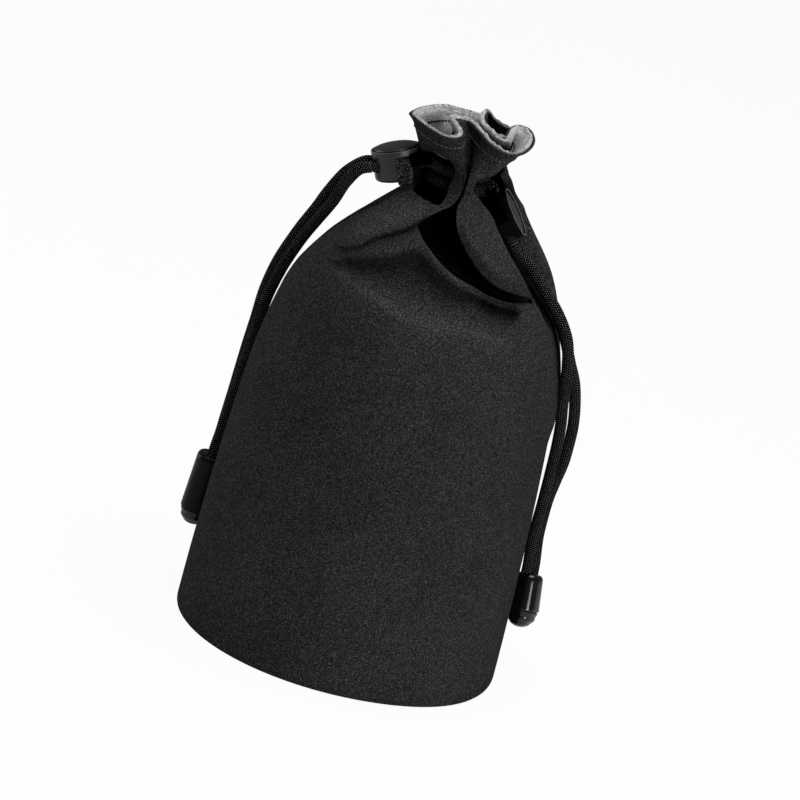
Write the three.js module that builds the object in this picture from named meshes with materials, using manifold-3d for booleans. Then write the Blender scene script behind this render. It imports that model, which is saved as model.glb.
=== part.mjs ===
// Drawstring pouch for a camera lens, standing upright with its mouth drawn shut.
// Millimetres, +Z up. The origin is the middle of the base, on the surface that the pouch stands on.
// The front faces -Y. One drawcord leaves the neck to the left (-X), the other to the right (+X).
// Each drawcord's two ends pass through a spring lock on a webbing tab, and share one moulded cord end.

import * as THREE from "three";
import { mergeVertices } from "three/addons/utils/BufferGeometryUtils.js";
import Module from "manifold-3d";

const wasm = await Module();
wasm.setup();

// Outline of the bag: radius at each height
const BASE_RADIUS = 52.5;
const BULGE_RADIUS = 53.1;
const BULGE_HEIGHT = 16;
const WAIST_RADIUS = 50.1;
const WAIST_HEIGHT = 83;
const SHOULDER_RADIUS = 45.6;
const SHOULDER_HEIGHT = 112;
const CONE_RADIUS = 37.2;
const CONE_HEIGHT = 131;
const NECK_RADIUS = 13;
const NECK_BOTTOM = 158.5;
const NECK_TOP = 165;
const CONE_END_DROP = 6;
const CONE_END_FLARE = 6.2;
const RIM_RADIUS = 20;
const RIM_HEIGHT = 178;

// Layers of the wall and base
const OUTER_THICKNESS = 0.8;
const FOAM_THICKNESS = 2.2;
const BASE_FOAM_THICKNESS = 2.6;
const LINING_THICKNESS = 0.8;
const BASE_THICKNESS = 1;
const BASE_EDGE_CHAMFER = 0.5;
const LAYER_GAP = 0.3;
const FOAM_TAPER_RISE = 9;
const LINING_CONE_DROP = 5;

// Folds of the gathered top: two side valleys for the locks, one shallower fold at the front and back
const FOLD_START = 120;
const VALLEY_DEPTH = 12.5;
const VALLEY_FULL_HEIGHT = 142;
const VALLEY_HALF_WIDTH = 11;
const VALLEY_RADIUS_SHARE = 0.6;
const VALLEY_EDGE = 2;
const NECK_VALLEY_DEPTH = 2;
const RUFFLE_VALLEY_DEPTH = 3.5;
const FRONT_FOLD_DEPTH = 7;
const FRONT_FOLD_FULL_HEIGHT = 138;
const FRONT_FOLD_HALF_WIDTH = 26;
const NECK_FOLD_DEPTH = 1.2;
const NECK_FOLD_HALF_WIDTH = 2.5;
const RUFFLE_FOLD_DEPTH = 2.6;
const SLIT_BOTTOM = 152.9;
const SLIT_TOP = 166;
const SLIT_BACK = 8.5;
const LEFT_SLIT_FRONT = 2;
const RIGHT_SLIT_FRONT = 6.5;

// Drawcords
const CORD_DIAMETER = 3.8;
const CORD_SIDES = 10;
const CORD_STEPS = 18;
const NECK_CORD_SIDES = 8;
const NECK_CORD_STEPS = 30;
const CORD_END_GAP = 0.4;
const CORD_LEAD = 3;
const LOOP_SLACK = 2;
const LOOP_SPACING = 0.6;
const RIGHT_LOOP_HEIGHT = 159;
const LOOP_OPENING = 112;
const LOOP_LEAD = 1.4;
const CORD_SPACING = 7.8;
const STRAND_SPACING = 4.1;
const STRAND_JOIN_LENGTH = 30;

// Spring lock
const LOCK_RADIUS = 7.9;
const FLANGE_RADIUS = 8.1;
const FLANGE_THICKNESS = 1.8;
const HOUSING_HEIGHT = 10;
const HOUSING_FLOOR = 0.8;
const HOUSING_CORNER = 1.6;
const PLUNGER_WELL_RADIUS = 6.2;
const BUTTON_WELL_RADIUS = 7.5;
const BORE_RADIUS = 2.2;
const BORE_HEIGHT = 5.4;
const BORE_SIDES = 14;
const BUTTON_RADIUS = 7.2;
const BUTTON_EDGE = 1.2;
const BUTTON_DOME = 1.2;
const BUTTON_TRAVEL = 1.4;
const PLATE_RADIUS = 5.9;
const PLATE_THICKNESS = 0.8;
const POST_RADIUS = 1.9;
const SPRING_WELL_RADIUS = 1.55;
const SPRING_RADIUS = 1.12;
const SPRING_WIRE = 0.5;
const SPRING_TURNS = 6;
const MOVING_GAP = 0.3;

// Webbing tab that slings the lock
const TAB_WIDTH = 5;
const TAB_THICKNESS = 0.9;
const TAB_OFFSET = -5.2;
const TAB_STRAP_LENGTH = 6.2;
const TAB_STRAP_BOTTOM = 4.6;
const FLANK_HALF_WIDTH = 6.9;

// Place of each lock: standoff from the neck, rise from the slit's lower edge, button's tilt from upright
const LEFT_LOCK_STANDOFF = 4.6;
const LEFT_LOCK_RISE = 2.4;
const LEFT_LOCK_TILT = 22;
const RIGHT_LOCK_STANDOFF = -0.1;
const RIGHT_LOCK_RISE = -4.8;
const RIGHT_LOCK_TILT = 52;

// Moulded cord end; the right one's sleeve is shorter and narrows more
const LEFT_SLEEVE = { length: 19, topScale: 0.95 };
const RIGHT_SLEEVE = { length: 11.7, topScale: 0.86 };
const SLEEVE_WIDTH = 10.4;
const SLEEVE_DEPTH = 10.8;
const SLEEVE_CORNER = 3.6;
const SLEEVE_WALL = 0.8;
const SLEEVE_TOP_WALL = 1.6;
const CAP_HEIGHT = 5.4;
const CAP_INSET = 0.3;
const CAP_SPIGOT_LENGTH = 3;
const KNOT_RADIUS = 2.8;
const KNOT_SIDES = 12;
const KNOT_RINGS = 8;

// Routes of the free cords: the middle of each pair, between the lock and the cord end
const LEFT_ROUTE = [
  [-34.1, 1.1, 150.9],
  [-37.3, 2.5, 143.3],
  [-40.2, 4.1, 136.2],
  [-43.3, 5.9, 129],
  [-45.9, 7.7, 121.8],
  [-48.1, 9.5, 114.5],
  [-50.1, 11.8, 104],
  [-50.9, 14, 93],
  [-51.5, 15.6, 84],
  [-52, 17.1, 75],
  [-52.5, 18.5, 66],
  [-53.1, 19.8, 57],
  [-53.5, 20.8, 50],
];
const LEFT_FOOT = [-54.1, 21.5, 42.8];
const RIGHT_ROUTE = [
  [29.9, -2, 138.2],
  [36.1, -3.5, 132.3],
  [41.9, -4.9, 126.6],
  [46.6, -5.8, 119.6],
  [49.5, -5.6, 111.8],
  [51.7, -4.2, 104.8],
  [53.2, -1.6, 97.5],
  [54.5, 1.6, 89.8],
  [55.1, 5, 82],
  [55.3, 8.5, 74.2],
  [55.1, 12, 66.4],
  [54.9, 15, 58.7],
  [54.9, 16.8, 51.8],
  [55.1, 18, 44.5],
];
const RIGHT_FOOT = [56.4, 18, 32.4];
// Turn of each pair about its run: share of the run and degrees, where 90 lays one cord behind the other
const LEFT_PAIR_TURNS = [[0, 90], [0.18, 124], [0.4, 120], [0.6, 106], [1, 92]];
const RIGHT_PAIR_TURNS = [[0, 90], [0.1, 106], [0.26, 106], [0.5, 16], [0.6, 30], [0.8, 70], [1, 60]];
// Way that each cord end hangs
const LEFT_END_DOWN = [-0.06, 0.01, -1];
const RIGHT_END_DOWN = [0.06, -0.29, -0.95];

const AROUND = 40;
const CORD_RADIUS = CORD_DIAMETER / 2;
const LOOP_RADIUS = NECK_RADIUS - OUTER_THICKNESS - LOOP_SLACK - CORD_RADIUS;
const LEFT_LOOP_HEIGHT = RIGHT_LOOP_HEIGHT + CORD_DIAMETER + LOOP_SPACING;
const THROAT_RADIUS = LOOP_RADIUS - CORD_RADIUS - LAYER_GAP;
const WALL_BOTTOM = BASE_THICKNESS + LAYER_GAP;
const BASE_FOAM_TOP = WALL_BOTTOM + BASE_FOAM_THICKNESS;
const LINING_BOTTOM = BASE_FOAM_TOP + LAYER_GAP;
const FOAM_INSET = OUTER_THICKNESS + LAYER_GAP;
const PADDED_LINING_INSET = FOAM_INSET + FOAM_THICKNESS + LAYER_GAP;

const UP = new THREE.Vector3(0, 0, 1);
const radians = THREE.MathUtils.degToRad;
const smooth = (low, high, value) => THREE.MathUtils.smoothstep(value, low, high);

// Materials: one per finish
const FABRIC = { color: 0x151516, roughness: 0.9, metalness: 0 };
const FOAM = { color: 0x55565a, roughness: 1, metalness: 0 };
const LINING = { color: 0xb4b4b6, roughness: 1, metalness: 0 };
const BRAID = { color: 0x101011, roughness: 0.8, metalness: 0 };
const WEBBING = { color: 0x19191a, roughness: 0.9, metalness: 0 };
const SATIN_PLASTIC = { color: 0x141415, roughness: 0.5, metalness: 0 };
const GLOSS_PLASTIC = { color: 0x0c0c0d, roughness: 0.25, metalness: 0 };
const STEEL = { color: 0xb0b0b0, roughness: 0.35, metalness: 1 };

const pouch = new THREE.Group();

function addPiece(name, geometry, finish, parent = pouch) {
  const piece = new THREE.Mesh(geometry, new THREE.MeshStandardMaterial(finish));
  piece.name = name;
  parent.add(piece);
  return piece;
}

// Closed solids, booleans and back

function facingOut(geometry) {
  const plain = geometry.clone();
  plain.deleteAttribute("normal");
  plain.deleteAttribute("uv");
  const merged = mergeVertices(plain, 1e-4);
  const point = merged.getAttribute("position");
  const index = Array.from(merged.index.array);
  const a = new THREE.Vector3();
  const b = new THREE.Vector3();
  const c = new THREE.Vector3();
  let volume = 0;
  const kept = [];
  for (let i = 0; i < index.length; i += 3) {
    const [i0, i1, i2] = index.slice(i, i + 3);
    if (i0 === i1 || i1 === i2 || i2 === i0) continue;
    a.fromBufferAttribute(point, i0);
    b.fromBufferAttribute(point, i1);
    c.fromBufferAttribute(point, i2);
    volume += a.dot(b.cross(c));
    kept.push(i0, i1, i2);
  }
  if (volume < 0) kept.reverse();
  merged.setIndex(kept);
  return merged;
}

function toSolid(geometry) {
  const closed = facingOut(geometry);
  return new wasm.Manifold(
    new wasm.Mesh({
      numProp: 3,
      vertProperties: closed.getAttribute("position").array,
      triVerts: new Uint32Array(closed.index.array),
    }),
  );
}

function fromSolid(solid) {
  const mesh = solid.getMesh();
  const geometry = new THREE.BufferGeometry();
  geometry.setAttribute("position", new THREE.BufferAttribute(mesh.vertProperties, 3));
  geometry.setIndex(Array.from(mesh.triVerts));
  return geometry;
}

function cut(body, ...tools) {
  return fromSolid(tools.reduce((rest, tool) => rest.subtract(toSolid(tool)), toSolid(body)));
}

function join(body, ...others) {
  return fromSolid(others.reduce((sum, other) => sum.add(toSolid(other)), toSolid(body)));
}

// Box between two corners
function block(low, high) {
  const size = high.map((value, axis) => value - low[axis]);
  const middle = high.map((value, axis) => (value + low[axis]) / 2);
  return new THREE.BoxGeometry(...size).translate(...middle);
}

// Round bar along Z between two heights
function bar(radius, low, high, sides) {
  return new THREE.CylinderGeometry(radius, radius, high - low, sides)
    .rotateX(Math.PI / 2)
    .translate(0, 0, (low + high) / 2);
}

// Solid of revolution about Z from a profile of radius and height
function revolve(profile, sides) {
  const points = profile.map(([radius, height]) => new THREE.Vector2(radius, height));
  return facingOut(new THREE.LatheGeometry(points, sides).rotateX(Math.PI / 2));
}

// Joins rings of equal point counts into one surface; closed ends are fans round each end ring's middle
function loft(rings, closeOnItself = false) {
  const count = rings[0].length;
  const points = rings.flat();
  const index = [];
  const bands = closeOnItself ? rings.length : rings.length - 1;
  for (let r = 0; r < bands; r += 1) {
    const low = r * count;
    const high = ((r + 1) % rings.length) * count;
    for (let i = 0; i < count; i += 1) {
      const next = (i + 1) % count;
      index.push(low + i, low + next, high + next, low + i, high + next, high + i);
    }
  }
  if (!closeOnItself) {
    for (const [start, order] of [[0, 1], [(rings.length - 1) * count, -1]]) {
      const ring = points.slice(start, start + count);
      const middle = new THREE.Vector3();
      ring.forEach((point) => middle.addScaledVector(point, 1 / count));
      const centre = points.push(middle) - 1;
      for (let i = 0; i < count; i += 1) {
        const pair = [start + i, start + ((i + 1) % count)];
        if (order > 0) pair.reverse();
        index.push(centre, ...pair);
      }
    }
  }
  const geometry = new THREE.BufferGeometry().setFromPoints(points);
  geometry.setIndex(index);
  return facingOut(geometry);
}

// Tube of round section along a smooth curve
function tube(points, radius, sides, steps) {
  const corners = Array.from({ length: sides }, (_, i) => {
    const angle = (2 * Math.PI * i) / sides;
    return new THREE.Vector2(radius * Math.cos(angle), radius * Math.sin(angle));
  });
  const path = new THREE.CatmullRomCurve3(points, false, "centripetal");
  const extrusion = new THREE.ExtrudeGeometry(new THREE.Shape(corners), { steps, extrudePath: path });
  return facingOut(extrusion);
}

// Bag: radius by height, then the folds

const PROFILE = [
  [0, BASE_RADIUS],
  [BULGE_HEIGHT, BULGE_RADIUS],
  [WAIST_HEIGHT, WAIST_RADIUS],
  [SHOULDER_HEIGHT, SHOULDER_RADIUS],
  [CONE_HEIGHT, CONE_RADIUS],
  [NECK_BOTTOM - CONE_END_DROP, NECK_RADIUS + CONE_END_FLARE],
  [NECK_BOTTOM, NECK_RADIUS],
  [NECK_TOP, NECK_RADIUS],
  [RIM_HEIGHT, RIM_RADIUS],
];

// Cubic between the profile's points that doesn't overshoot them
function profileRadius(height) {
  const last = PROFILE.length - 1;
  const slope = (i) => (PROFILE[i + 1][1] - PROFILE[i][1]) / (PROFILE[i + 1][0] - PROFILE[i][0]);
  const tangent = (i) => {
    if (i === 0) return slope(0);
    if (i === last) return slope(last - 1);
    const before = slope(i - 1);
    const after = slope(i);
    return before * after <= 0 ? 0 : (2 * before * after) / (before + after);
  };
  let k = 0;
  while (k < last - 1 && height > PROFILE[k + 1][0]) k += 1;
  const [lowHeight, lowRadius] = PROFILE[k];
  const [highHeight, highRadius] = PROFILE[k + 1];
  const span = highHeight - lowHeight;
  const t = THREE.MathUtils.clamp((height - lowHeight) / span, 0, 1);
  const t2 = t * t;
  const t3 = t2 * t;
  return (
    lowRadius * (2 * t3 - 3 * t2 + 1) +
    highRadius * (3 * t2 - 2 * t3) +
    span * (tangent(k) * (t3 - 2 * t2 + t) + tangent(k + 1) * (t3 - t2))
  );
}

function valleyDepth(height) {
  const rise = VALLEY_DEPTH * smooth(FOLD_START, VALLEY_FULL_HEIGHT, height);
  const easing = smooth(SLIT_BOTTOM, (SLIT_BOTTOM + NECK_BOTTOM) / 2, height);
  const ruffle = (RUFFLE_VALLEY_DEPTH - NECK_VALLEY_DEPTH) * smooth(NECK_TOP, SLIT_TOP, height);
  return rise - (VALLEY_DEPTH - NECK_VALLEY_DEPTH) * easing + ruffle;
}

function frontFoldDepth(height) {
  const rise = FRONT_FOLD_DEPTH * smooth(FOLD_START, FRONT_FOLD_FULL_HEIGHT, height);
  const easing = smooth((CONE_HEIGHT + NECK_BOTTOM) / 2, NECK_BOTTOM - LAYER_GAP, height);
  const ruffle = (RUFFLE_FOLD_DEPTH - NECK_FOLD_DEPTH) * smooth(NECK_TOP, RIM_HEIGHT, height);
  return rise - (FRONT_FOLD_DEPTH - NECK_FOLD_DEPTH) * easing + ruffle;
}

function frontFoldHalfWidth(height) {
  const closing = smooth(FOLD_START, NECK_BOTTOM, height);
  return THREE.MathUtils.lerp(FRONT_FOLD_HALF_WIDTH, NECK_FOLD_HALF_WIDTH, closing);
}

// Point on the wall at an angle from +X, moved inwards by an inset
function wallPoint(angle, height, inset) {
  const radius = profileRadius(height) - inset;
  const x = radius * Math.cos(angle);
  const y = radius * Math.sin(angle);
  const valleyEdge = Math.min(VALLEY_HALF_WIDTH, VALLEY_RADIUS_SHARE * profileRadius(height)) + inset;
  const inValley = 1 - smooth(valleyEdge, valleyEdge + VALLEY_EDGE, Math.abs(y));
  const foldEdge = frontFoldHalfWidth(height) + inset;
  const foldSpread = foldEdge / 2;
  const inFold = 1 - smooth(foldEdge - foldSpread, foldEdge + foldSpread, Math.abs(x));
  return new THREE.Vector3(
    x - Math.sign(x) * Math.min(valleyDepth(height) * inValley, Math.abs(x)),
    y - Math.sign(y) * Math.min(frontFoldDepth(height) * inFold, Math.abs(y)),
    height,
  );
}

function liningInset(height) {
  const taper = smooth(SHOULDER_HEIGHT, SHOULDER_HEIGHT + FOAM_TAPER_RISE, height);
  return THREE.MathUtils.lerp(PADDED_LINING_INSET, FOAM_INSET + LAYER_GAP, taper);
}

// The lining is gathered inside the cords, so near the neck it keeps within a cone
function liningReach(height) {
  const throat = THROAT_RADIUS;
  const coneTop = SLIT_BOTTOM - LINING_CONE_DROP;
  const coneBottom = SHOULDER_HEIGHT;
  const below = THREE.MathUtils.mapLinear(height, coneBottom, coneTop, SHOULDER_RADIUS, throat);
  const coneAboveStart = LEFT_LOOP_HEIGHT + CORD_RADIUS;
  const above = THREE.MathUtils.mapLinear(height, coneAboveStart, RIM_HEIGHT, throat, RIM_RADIUS);
  return Math.max(throat, below, above);
}

function liningPoint(angle, height, extraInset) {
  const point = wallPoint(angle, height, liningInset(height) + extraInset);
  const reach = liningReach(height) - extraInset;
  const distance = Math.hypot(point.x, point.y);
  if (distance > reach) {
    point.x *= reach / distance;
    point.y *= reach / distance;
  }
  return point;
}

function heights(low, high, bands) {
  return Array.from({ length: bands }, (_, i) => THREE.MathUtils.lerp(low, high, (i + 1) / bands));
}

const UPPER_HEIGHTS = [
  ...heights(SHOULDER_HEIGHT, CONE_HEIGHT, 4),
  ...heights(CONE_HEIGHT, SLIT_BOTTOM, 6),
  ...heights(SLIT_BOTTOM, NECK_TOP, 4),
  ...heights(NECK_TOP, RIM_HEIGHT, 4),
];
const LOWER_HEIGHTS = [
  BULGE_HEIGHT,
  ...heights(BULGE_HEIGHT, WAIST_HEIGHT, 2),
  ...heights(WAIST_HEIGHT, SHOULDER_HEIGHT, 2),
];

function ring(pointAt, height) {
  return Array.from({ length: AROUND }, (_, i) => pointAt((2 * Math.PI * i) / AROUND, height));
}

// Shell between an outer and an inner surface, closed along its two edges
function shell(ringHeights, outerAt, innerAt) {
  const outer = ringHeights.map((height) => ring(outerAt, height));
  const inner = ringHeights.map((height) => ring(innerAt, height)).reverse();
  return loft([...outer, ...inner], true);
}

function makeOuterWall() {
  const wall = shell(
    [WALL_BOTTOM, ...LOWER_HEIGHTS, ...UPPER_HEIGHTS],
    (angle, height) => wallPoint(angle, height, 0),
    (angle, height) => wallPoint(angle, height, OUTER_THICKNESS),
  );
  const slit = (near, far) =>
    block(
      [Math.min(near, far), -SHOULDER_RADIUS, SLIT_BOTTOM],
      [Math.max(near, far), SLIT_BACK, SLIT_TOP],
    );
  const leftSlit = slit(-LEFT_SLIT_FRONT, -SHOULDER_RADIUS);
  const rightSlit = slit(RIGHT_SLIT_FRONT, SHOULDER_RADIUS);
  addPiece("outer_wall", cut(wall, leftSlit, rightSlit), FABRIC);
}

function disc(radius, low, high, chamfer) {
  const profile = [
    [0, low],
    [radius - chamfer, low],
    [radius, low + chamfer],
    [radius, high],
    [0, high],
  ];
  return revolve(profile, AROUND).rotateZ(-Math.PI / 2);
}

function makeBag() {
  makeOuterWall();
  addPiece("outer_base", disc(BASE_RADIUS, 0, BASE_THICKNESS, BASE_EDGE_CHAMFER), FABRIC);
  const padding = shell(
    [LINING_BOTTOM, ...LOWER_HEIGHTS],
    (angle, height) => wallPoint(angle, height, FOAM_INSET),
    (angle, height) => wallPoint(angle, height, FOAM_INSET + FOAM_THICKNESS),
  );
  addPiece("wall_padding", padding, FOAM);
  const basePaddingRadius = BASE_RADIUS - FOAM_INSET;
  addPiece("base_padding", disc(basePaddingRadius, WALL_BOTTOM, BASE_FOAM_TOP, 0), FOAM);
  const lining = shell(
    [LINING_BOTTOM, ...LOWER_HEIGHTS, ...UPPER_HEIGHTS],
    (angle, height) => liningPoint(angle, height, 0),
    (angle, height) => liningPoint(angle, height, LINING_THICKNESS),
  );
  addPiece("lining_wall", lining, LINING);
  const liningBaseRadius = BASE_RADIUS - PADDED_LINING_INSET - LINING_THICKNESS - LAYER_GAP;
  const liningBaseTop = LINING_BOTTOM + LINING_THICKNESS;
  addPiece("lining_base", disc(liningBaseRadius, LINING_BOTTOM, liningBaseTop, 0), LINING);
}

// Spring lock, in its own frame: origin at the middle of its bottom, cords leave along +X, button on +Z

const HOUSING_TURN_SIDES = 24;
const BUTTON_UNDERSIDE = BORE_HEIGHT + CORD_RADIUS + MOVING_GAP + BUTTON_TRAVEL;
const PLATE_TOP = BORE_HEIGHT - CORD_RADIUS - MOVING_GAP;
const WELL_STEP = BUTTON_UNDERSIDE - BUTTON_TRAVEL - MOVING_GAP / 2;

function lockHousing() {
  const flangeBottom = HOUSING_HEIGHT - FLANGE_THICKNESS;
  const cornerMiddle = HOUSING_CORNER * (1 - Math.SQRT1_2);
  const body = revolve(
    [
      [0, 0],
      [LOCK_RADIUS - HOUSING_CORNER, 0],
      [LOCK_RADIUS - cornerMiddle, cornerMiddle],
      [LOCK_RADIUS, HOUSING_CORNER],
      [LOCK_RADIUS, flangeBottom],
      [FLANGE_RADIUS, flangeBottom + MOVING_GAP],
      [FLANGE_RADIUS, HOUSING_HEIGHT - MOVING_GAP],
      [FLANGE_RADIUS - MOVING_GAP, HOUSING_HEIGHT],
      [BUTTON_WELL_RADIUS, HOUSING_HEIGHT],
      [BUTTON_WELL_RADIUS, WELL_STEP],
      [PLUNGER_WELL_RADIUS, WELL_STEP],
      [PLUNGER_WELL_RADIUS, HOUSING_FLOOR],
      [0, HOUSING_FLOOR],
    ],
    HOUSING_TURN_SIDES,
  );
  const bores = [-1, 1].map((sign) =>
    bar(BORE_RADIUS, -FLANGE_RADIUS, FLANGE_RADIUS, BORE_SIDES)
      .rotateY(Math.PI / 2)
      .translate(0, (sign * CORD_SPACING) / 2, BORE_HEIGHT),
  );
  const flanks = [-1, 1].map((sign) => {
    const near = sign * FLANK_HALF_WIDTH;
    const far = sign * (FLANGE_RADIUS + MOVING_GAP);
    return block(
      [-FLANGE_RADIUS, Math.min(near, far), -MOVING_GAP],
      [TAB_OFFSET + TAB_WIDTH + MOVING_GAP, Math.max(near, far), flangeBottom],
    );
  });
  return cut(body, ...bores, ...flanks);
}

// Spool: the button's dome, a post between the two cords, and a plate that pulls up against them
function lockButton() {
  const domeBottom = BUTTON_UNDERSIDE + BUTTON_EDGE;
  const domeSteps = 4;
  const dome = Array.from({ length: domeSteps }, (_, i) => {
    const angle = (Math.PI / 2) * ((i + 1) / domeSteps);
    return [BUTTON_RADIUS * Math.cos(angle), domeBottom + BUTTON_DOME * Math.sin(angle)];
  });
  dome[domeSteps - 1][0] = 0;
  return revolve(
    [
      [0, BUTTON_UNDERSIDE],
      [SPRING_WELL_RADIUS, BUTTON_UNDERSIDE],
      [SPRING_WELL_RADIUS, PLATE_TOP - PLATE_THICKNESS],
      [PLATE_RADIUS, PLATE_TOP - PLATE_THICKNESS],
      [PLATE_RADIUS, PLATE_TOP],
      [POST_RADIUS, PLATE_TOP],
      [POST_RADIUS, BUTTON_UNDERSIDE],
      [BUTTON_RADIUS, BUTTON_UNDERSIDE],
      [BUTTON_RADIUS, domeBottom],
      ...dome,
    ],
    HOUSING_TURN_SIDES,
  );
}

// Coil of round wire between the housing's floor and the button, as one unbroken tube
function lockSpring() {
  const stepsPerTurn = 8;
  const wireSides = 5;
  const wireRadius = SPRING_WIRE / 2;
  const low = HOUSING_FLOOR + MOVING_GAP + wireRadius;
  const high = BUTTON_UNDERSIDE - MOVING_GAP - wireRadius;
  const steps = SPRING_TURNS * stepsPerTurn;
  const centreAt = (i) => {
    const angle = (2 * Math.PI * i) / stepsPerTurn;
    const height = THREE.MathUtils.lerp(low, high, i / steps);
    return new THREE.Vector3(SPRING_RADIUS * Math.cos(angle), SPRING_RADIUS * Math.sin(angle), height);
  };
  const centres = Array.from({ length: steps + 1 }, (_, i) => centreAt(i));
  const rings = centres.map((centre) => {
    const outward = new THREE.Vector3(centre.x, centre.y, 0).normalize();
    return Array.from({ length: wireSides }, (_, k) => {
      const angle = (2 * Math.PI * k) / wireSides;
      return centre
        .clone()
        .addScaledVector(outward, wireRadius * Math.cos(angle))
        .addScaledVector(UP, wireRadius * Math.sin(angle));
    });
  });
  let leastGap = Infinity;
  for (let i = 0; i + stepsPerTurn / 2 < centres.length; i += 1) {
    for (let k = i + stepsPerTurn / 2; k < centres.length; k += 1) {
      leastGap = Math.min(leastGap, centres[i].distanceTo(centres[k]) - SPRING_WIRE);
    }
  }
  return { coil: loft(rings), leastGap };
}

// Webbing sling: down one flank, under the housing and up the other, with two straps back to the pouch
function lockTab() {
  const legNear = FLANK_HALF_WIDTH + LAYER_GAP;
  const legFar = legNear + TAB_THICKNESS;
  const top = HOUSING_HEIGHT - FLANGE_THICKNESS - LAYER_GAP;
  const bottom = -LAYER_GAP - TAB_THICKNESS;
  const front = TAB_OFFSET + TAB_WIDTH;
  const under = block([TAB_OFFSET, -legFar, bottom], [front, legFar, -LAYER_GAP]);
  const legs = [-1, 1].flatMap((sign) => {
    const low = Math.min(sign * legNear, sign * legFar);
    const high = Math.max(sign * legNear, sign * legFar);
    const leg = block([TAB_OFFSET, low, bottom], [front, high, top]);
    const strap = block([TAB_OFFSET - TAB_STRAP_LENGTH, low, TAB_STRAP_BOTTOM], [front, high, top]);
    return [leg, strap];
  });
  return join(under, ...legs);
}

function makeLock(side, sideTurn, place) {
  const sideGroup = new THREE.Group();
  sideGroup.rotation.z = sideTurn;
  pouch.add(sideGroup);
  const lock = new THREE.Group();
  lock.position.set(NECK_RADIUS + place.standoff, 0, SLIT_BOTTOM + place.rise);
  lock.rotation.y = radians(place.tilt);
  sideGroup.add(lock);
  addPiece(`${side}_lock_housing`, lockHousing(), SATIN_PLASTIC, lock);
  addPiece(`${side}_lock_button`, lockButton(), SATIN_PLASTIC, lock);
  const { coil, leastGap } = lockSpring();
  addPiece(`${side}_lock_spring`, coil, STEEL, lock);
  console.log(`${side} lock spring: least gap between turns ${leastGap.toFixed(2)} mm`);
  addPiece(`${side}_lock_tab`, lockTab(), WEBBING, lock);
  const frontSign = sideTurn === 0 ? -1 : 1;
  for (const [strand, sign] of [["front", frontSign], ["rear", -frontSign]]) {
    const run = bar(CORD_RADIUS, -LOCK_RADIUS, LOCK_RADIUS, CORD_SIDES)
      .rotateY(Math.PI / 2)
      .translate(0, (sign * CORD_SPACING) / 2, BORE_HEIGHT);
    addPiece(`${side}_lock_cord_${strand}`, run, BRAID, lock);
  }
}

// Place in the pouch's frame of a point given in a lock's frame
function lockPlace(sideTurn, place, x, y, z) {
  const tilt = radians(place.tilt);
  return new THREE.Vector3(x, y, z)
    .applyAxisAngle(new THREE.Vector3(0, 1, 0), tilt)
    .add(new THREE.Vector3(NECK_RADIUS + place.standoff, 0, SLIT_BOTTOM + place.rise))
    .applyAxisAngle(UP, sideTurn);
}

// Drawcord round the neck: from the lock's back, once round inside the fabric, and back to the lock
function makeNeckCord(side, sideTurn, place, loopHeight) {
  const half = CORD_SPACING / 2;
  const back = -LOCK_RADIUS - CORD_END_GAP;
  const lead = (sign) => [
    lockPlace(sideTurn, place, back, sign * half, BORE_HEIGHT),
    lockPlace(sideTurn, place, back - LOOP_LEAD, sign * half, BORE_HEIGHT),
  ];
  const openHalf = radians(LOOP_OPENING / 2);
  const loopSteps = 12;
  const loop = Array.from({ length: loopSteps + 1 }, (_, i) => {
    const turn = THREE.MathUtils.lerp(openHalf, 2 * Math.PI - openHalf, i / loopSteps) + sideTurn;
    return new THREE.Vector3(LOOP_RADIUS * Math.cos(turn), LOOP_RADIUS * Math.sin(turn), loopHeight);
  });
  const route = [...lead(1), ...loop, ...lead(-1).reverse()];
  addPiece(`${side}_neck_cord`, tube(route, CORD_RADIUS, NECK_CORD_SIDES, NECK_CORD_STEPS), BRAID);
}

// Degrees of turn at a share of the run, eased between stations
function turnAt(stations, share) {
  const next = Math.max(1, stations.findIndex(([place]) => place >= share));
  const [lowShare, lowTurn] = stations[next - 1];
  const [highShare, highTurn] = stations[next];
  return THREE.MathUtils.lerp(lowTurn, highTurn, smooth(lowShare, highShare, share));
}

// Free cords: each pair follows one route, a set distance apart, and turns about it
function makeFreeCords(side, sideTurn, place, { route, turns, foot, endDown }) {
  const down = new THREE.Vector3(...endDown).normalize();
  const end = new THREE.Vector3(...foot);
  const exit = LOCK_RADIUS + CORD_END_GAP;
  const points = [
    lockPlace(sideTurn, place, exit, 0, BORE_HEIGHT),
    lockPlace(sideTurn, place, exit + CORD_LEAD, 0, BORE_HEIGHT),
    ...route.map((point) => new THREE.Vector3(...point)),
    end.clone().addScaledVector(down, -CORD_LEAD),
    end,
  ];
  const last = points.length - 1;
  const lengths = [0];
  for (let i = 1; i <= last; i += 1) {
    lengths.push(lengths[i - 1] + points[i].distanceTo(points[i - 1]));
  }
  const acrossAt = (i) => {
    const turn = radians(turnAt(turns, lengths[i] / lengths[last]));
    const across = new THREE.Vector3(Math.cos(turn), Math.sin(turn), 0);
    const along = i === last ? down : points[i + 1].clone().sub(points[Math.max(i - 1, 0)]).normalize();
    return across.addScaledVector(along, -across.dot(along)).normalize();
  };
  const halfAt = (i) => {
    const joined = smooth(0, STRAND_JOIN_LENGTH, lengths[i]);
    return THREE.MathUtils.lerp(CORD_SPACING, STRAND_SPACING, joined) / 2;
  };
  for (const [strand, sign] of [["front", -1], ["rear", 1]]) {
    const run = points.map((point, i) => point.clone().addScaledVector(acrossAt(i), sign * halfAt(i)));
    addPiece(`${side}_cord_${strand}`, tube(run, CORD_RADIUS, CORD_SIDES, CORD_STEPS), BRAID);
  }
  return { foot: end, down, across: acrossAt(last) };
}

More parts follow.
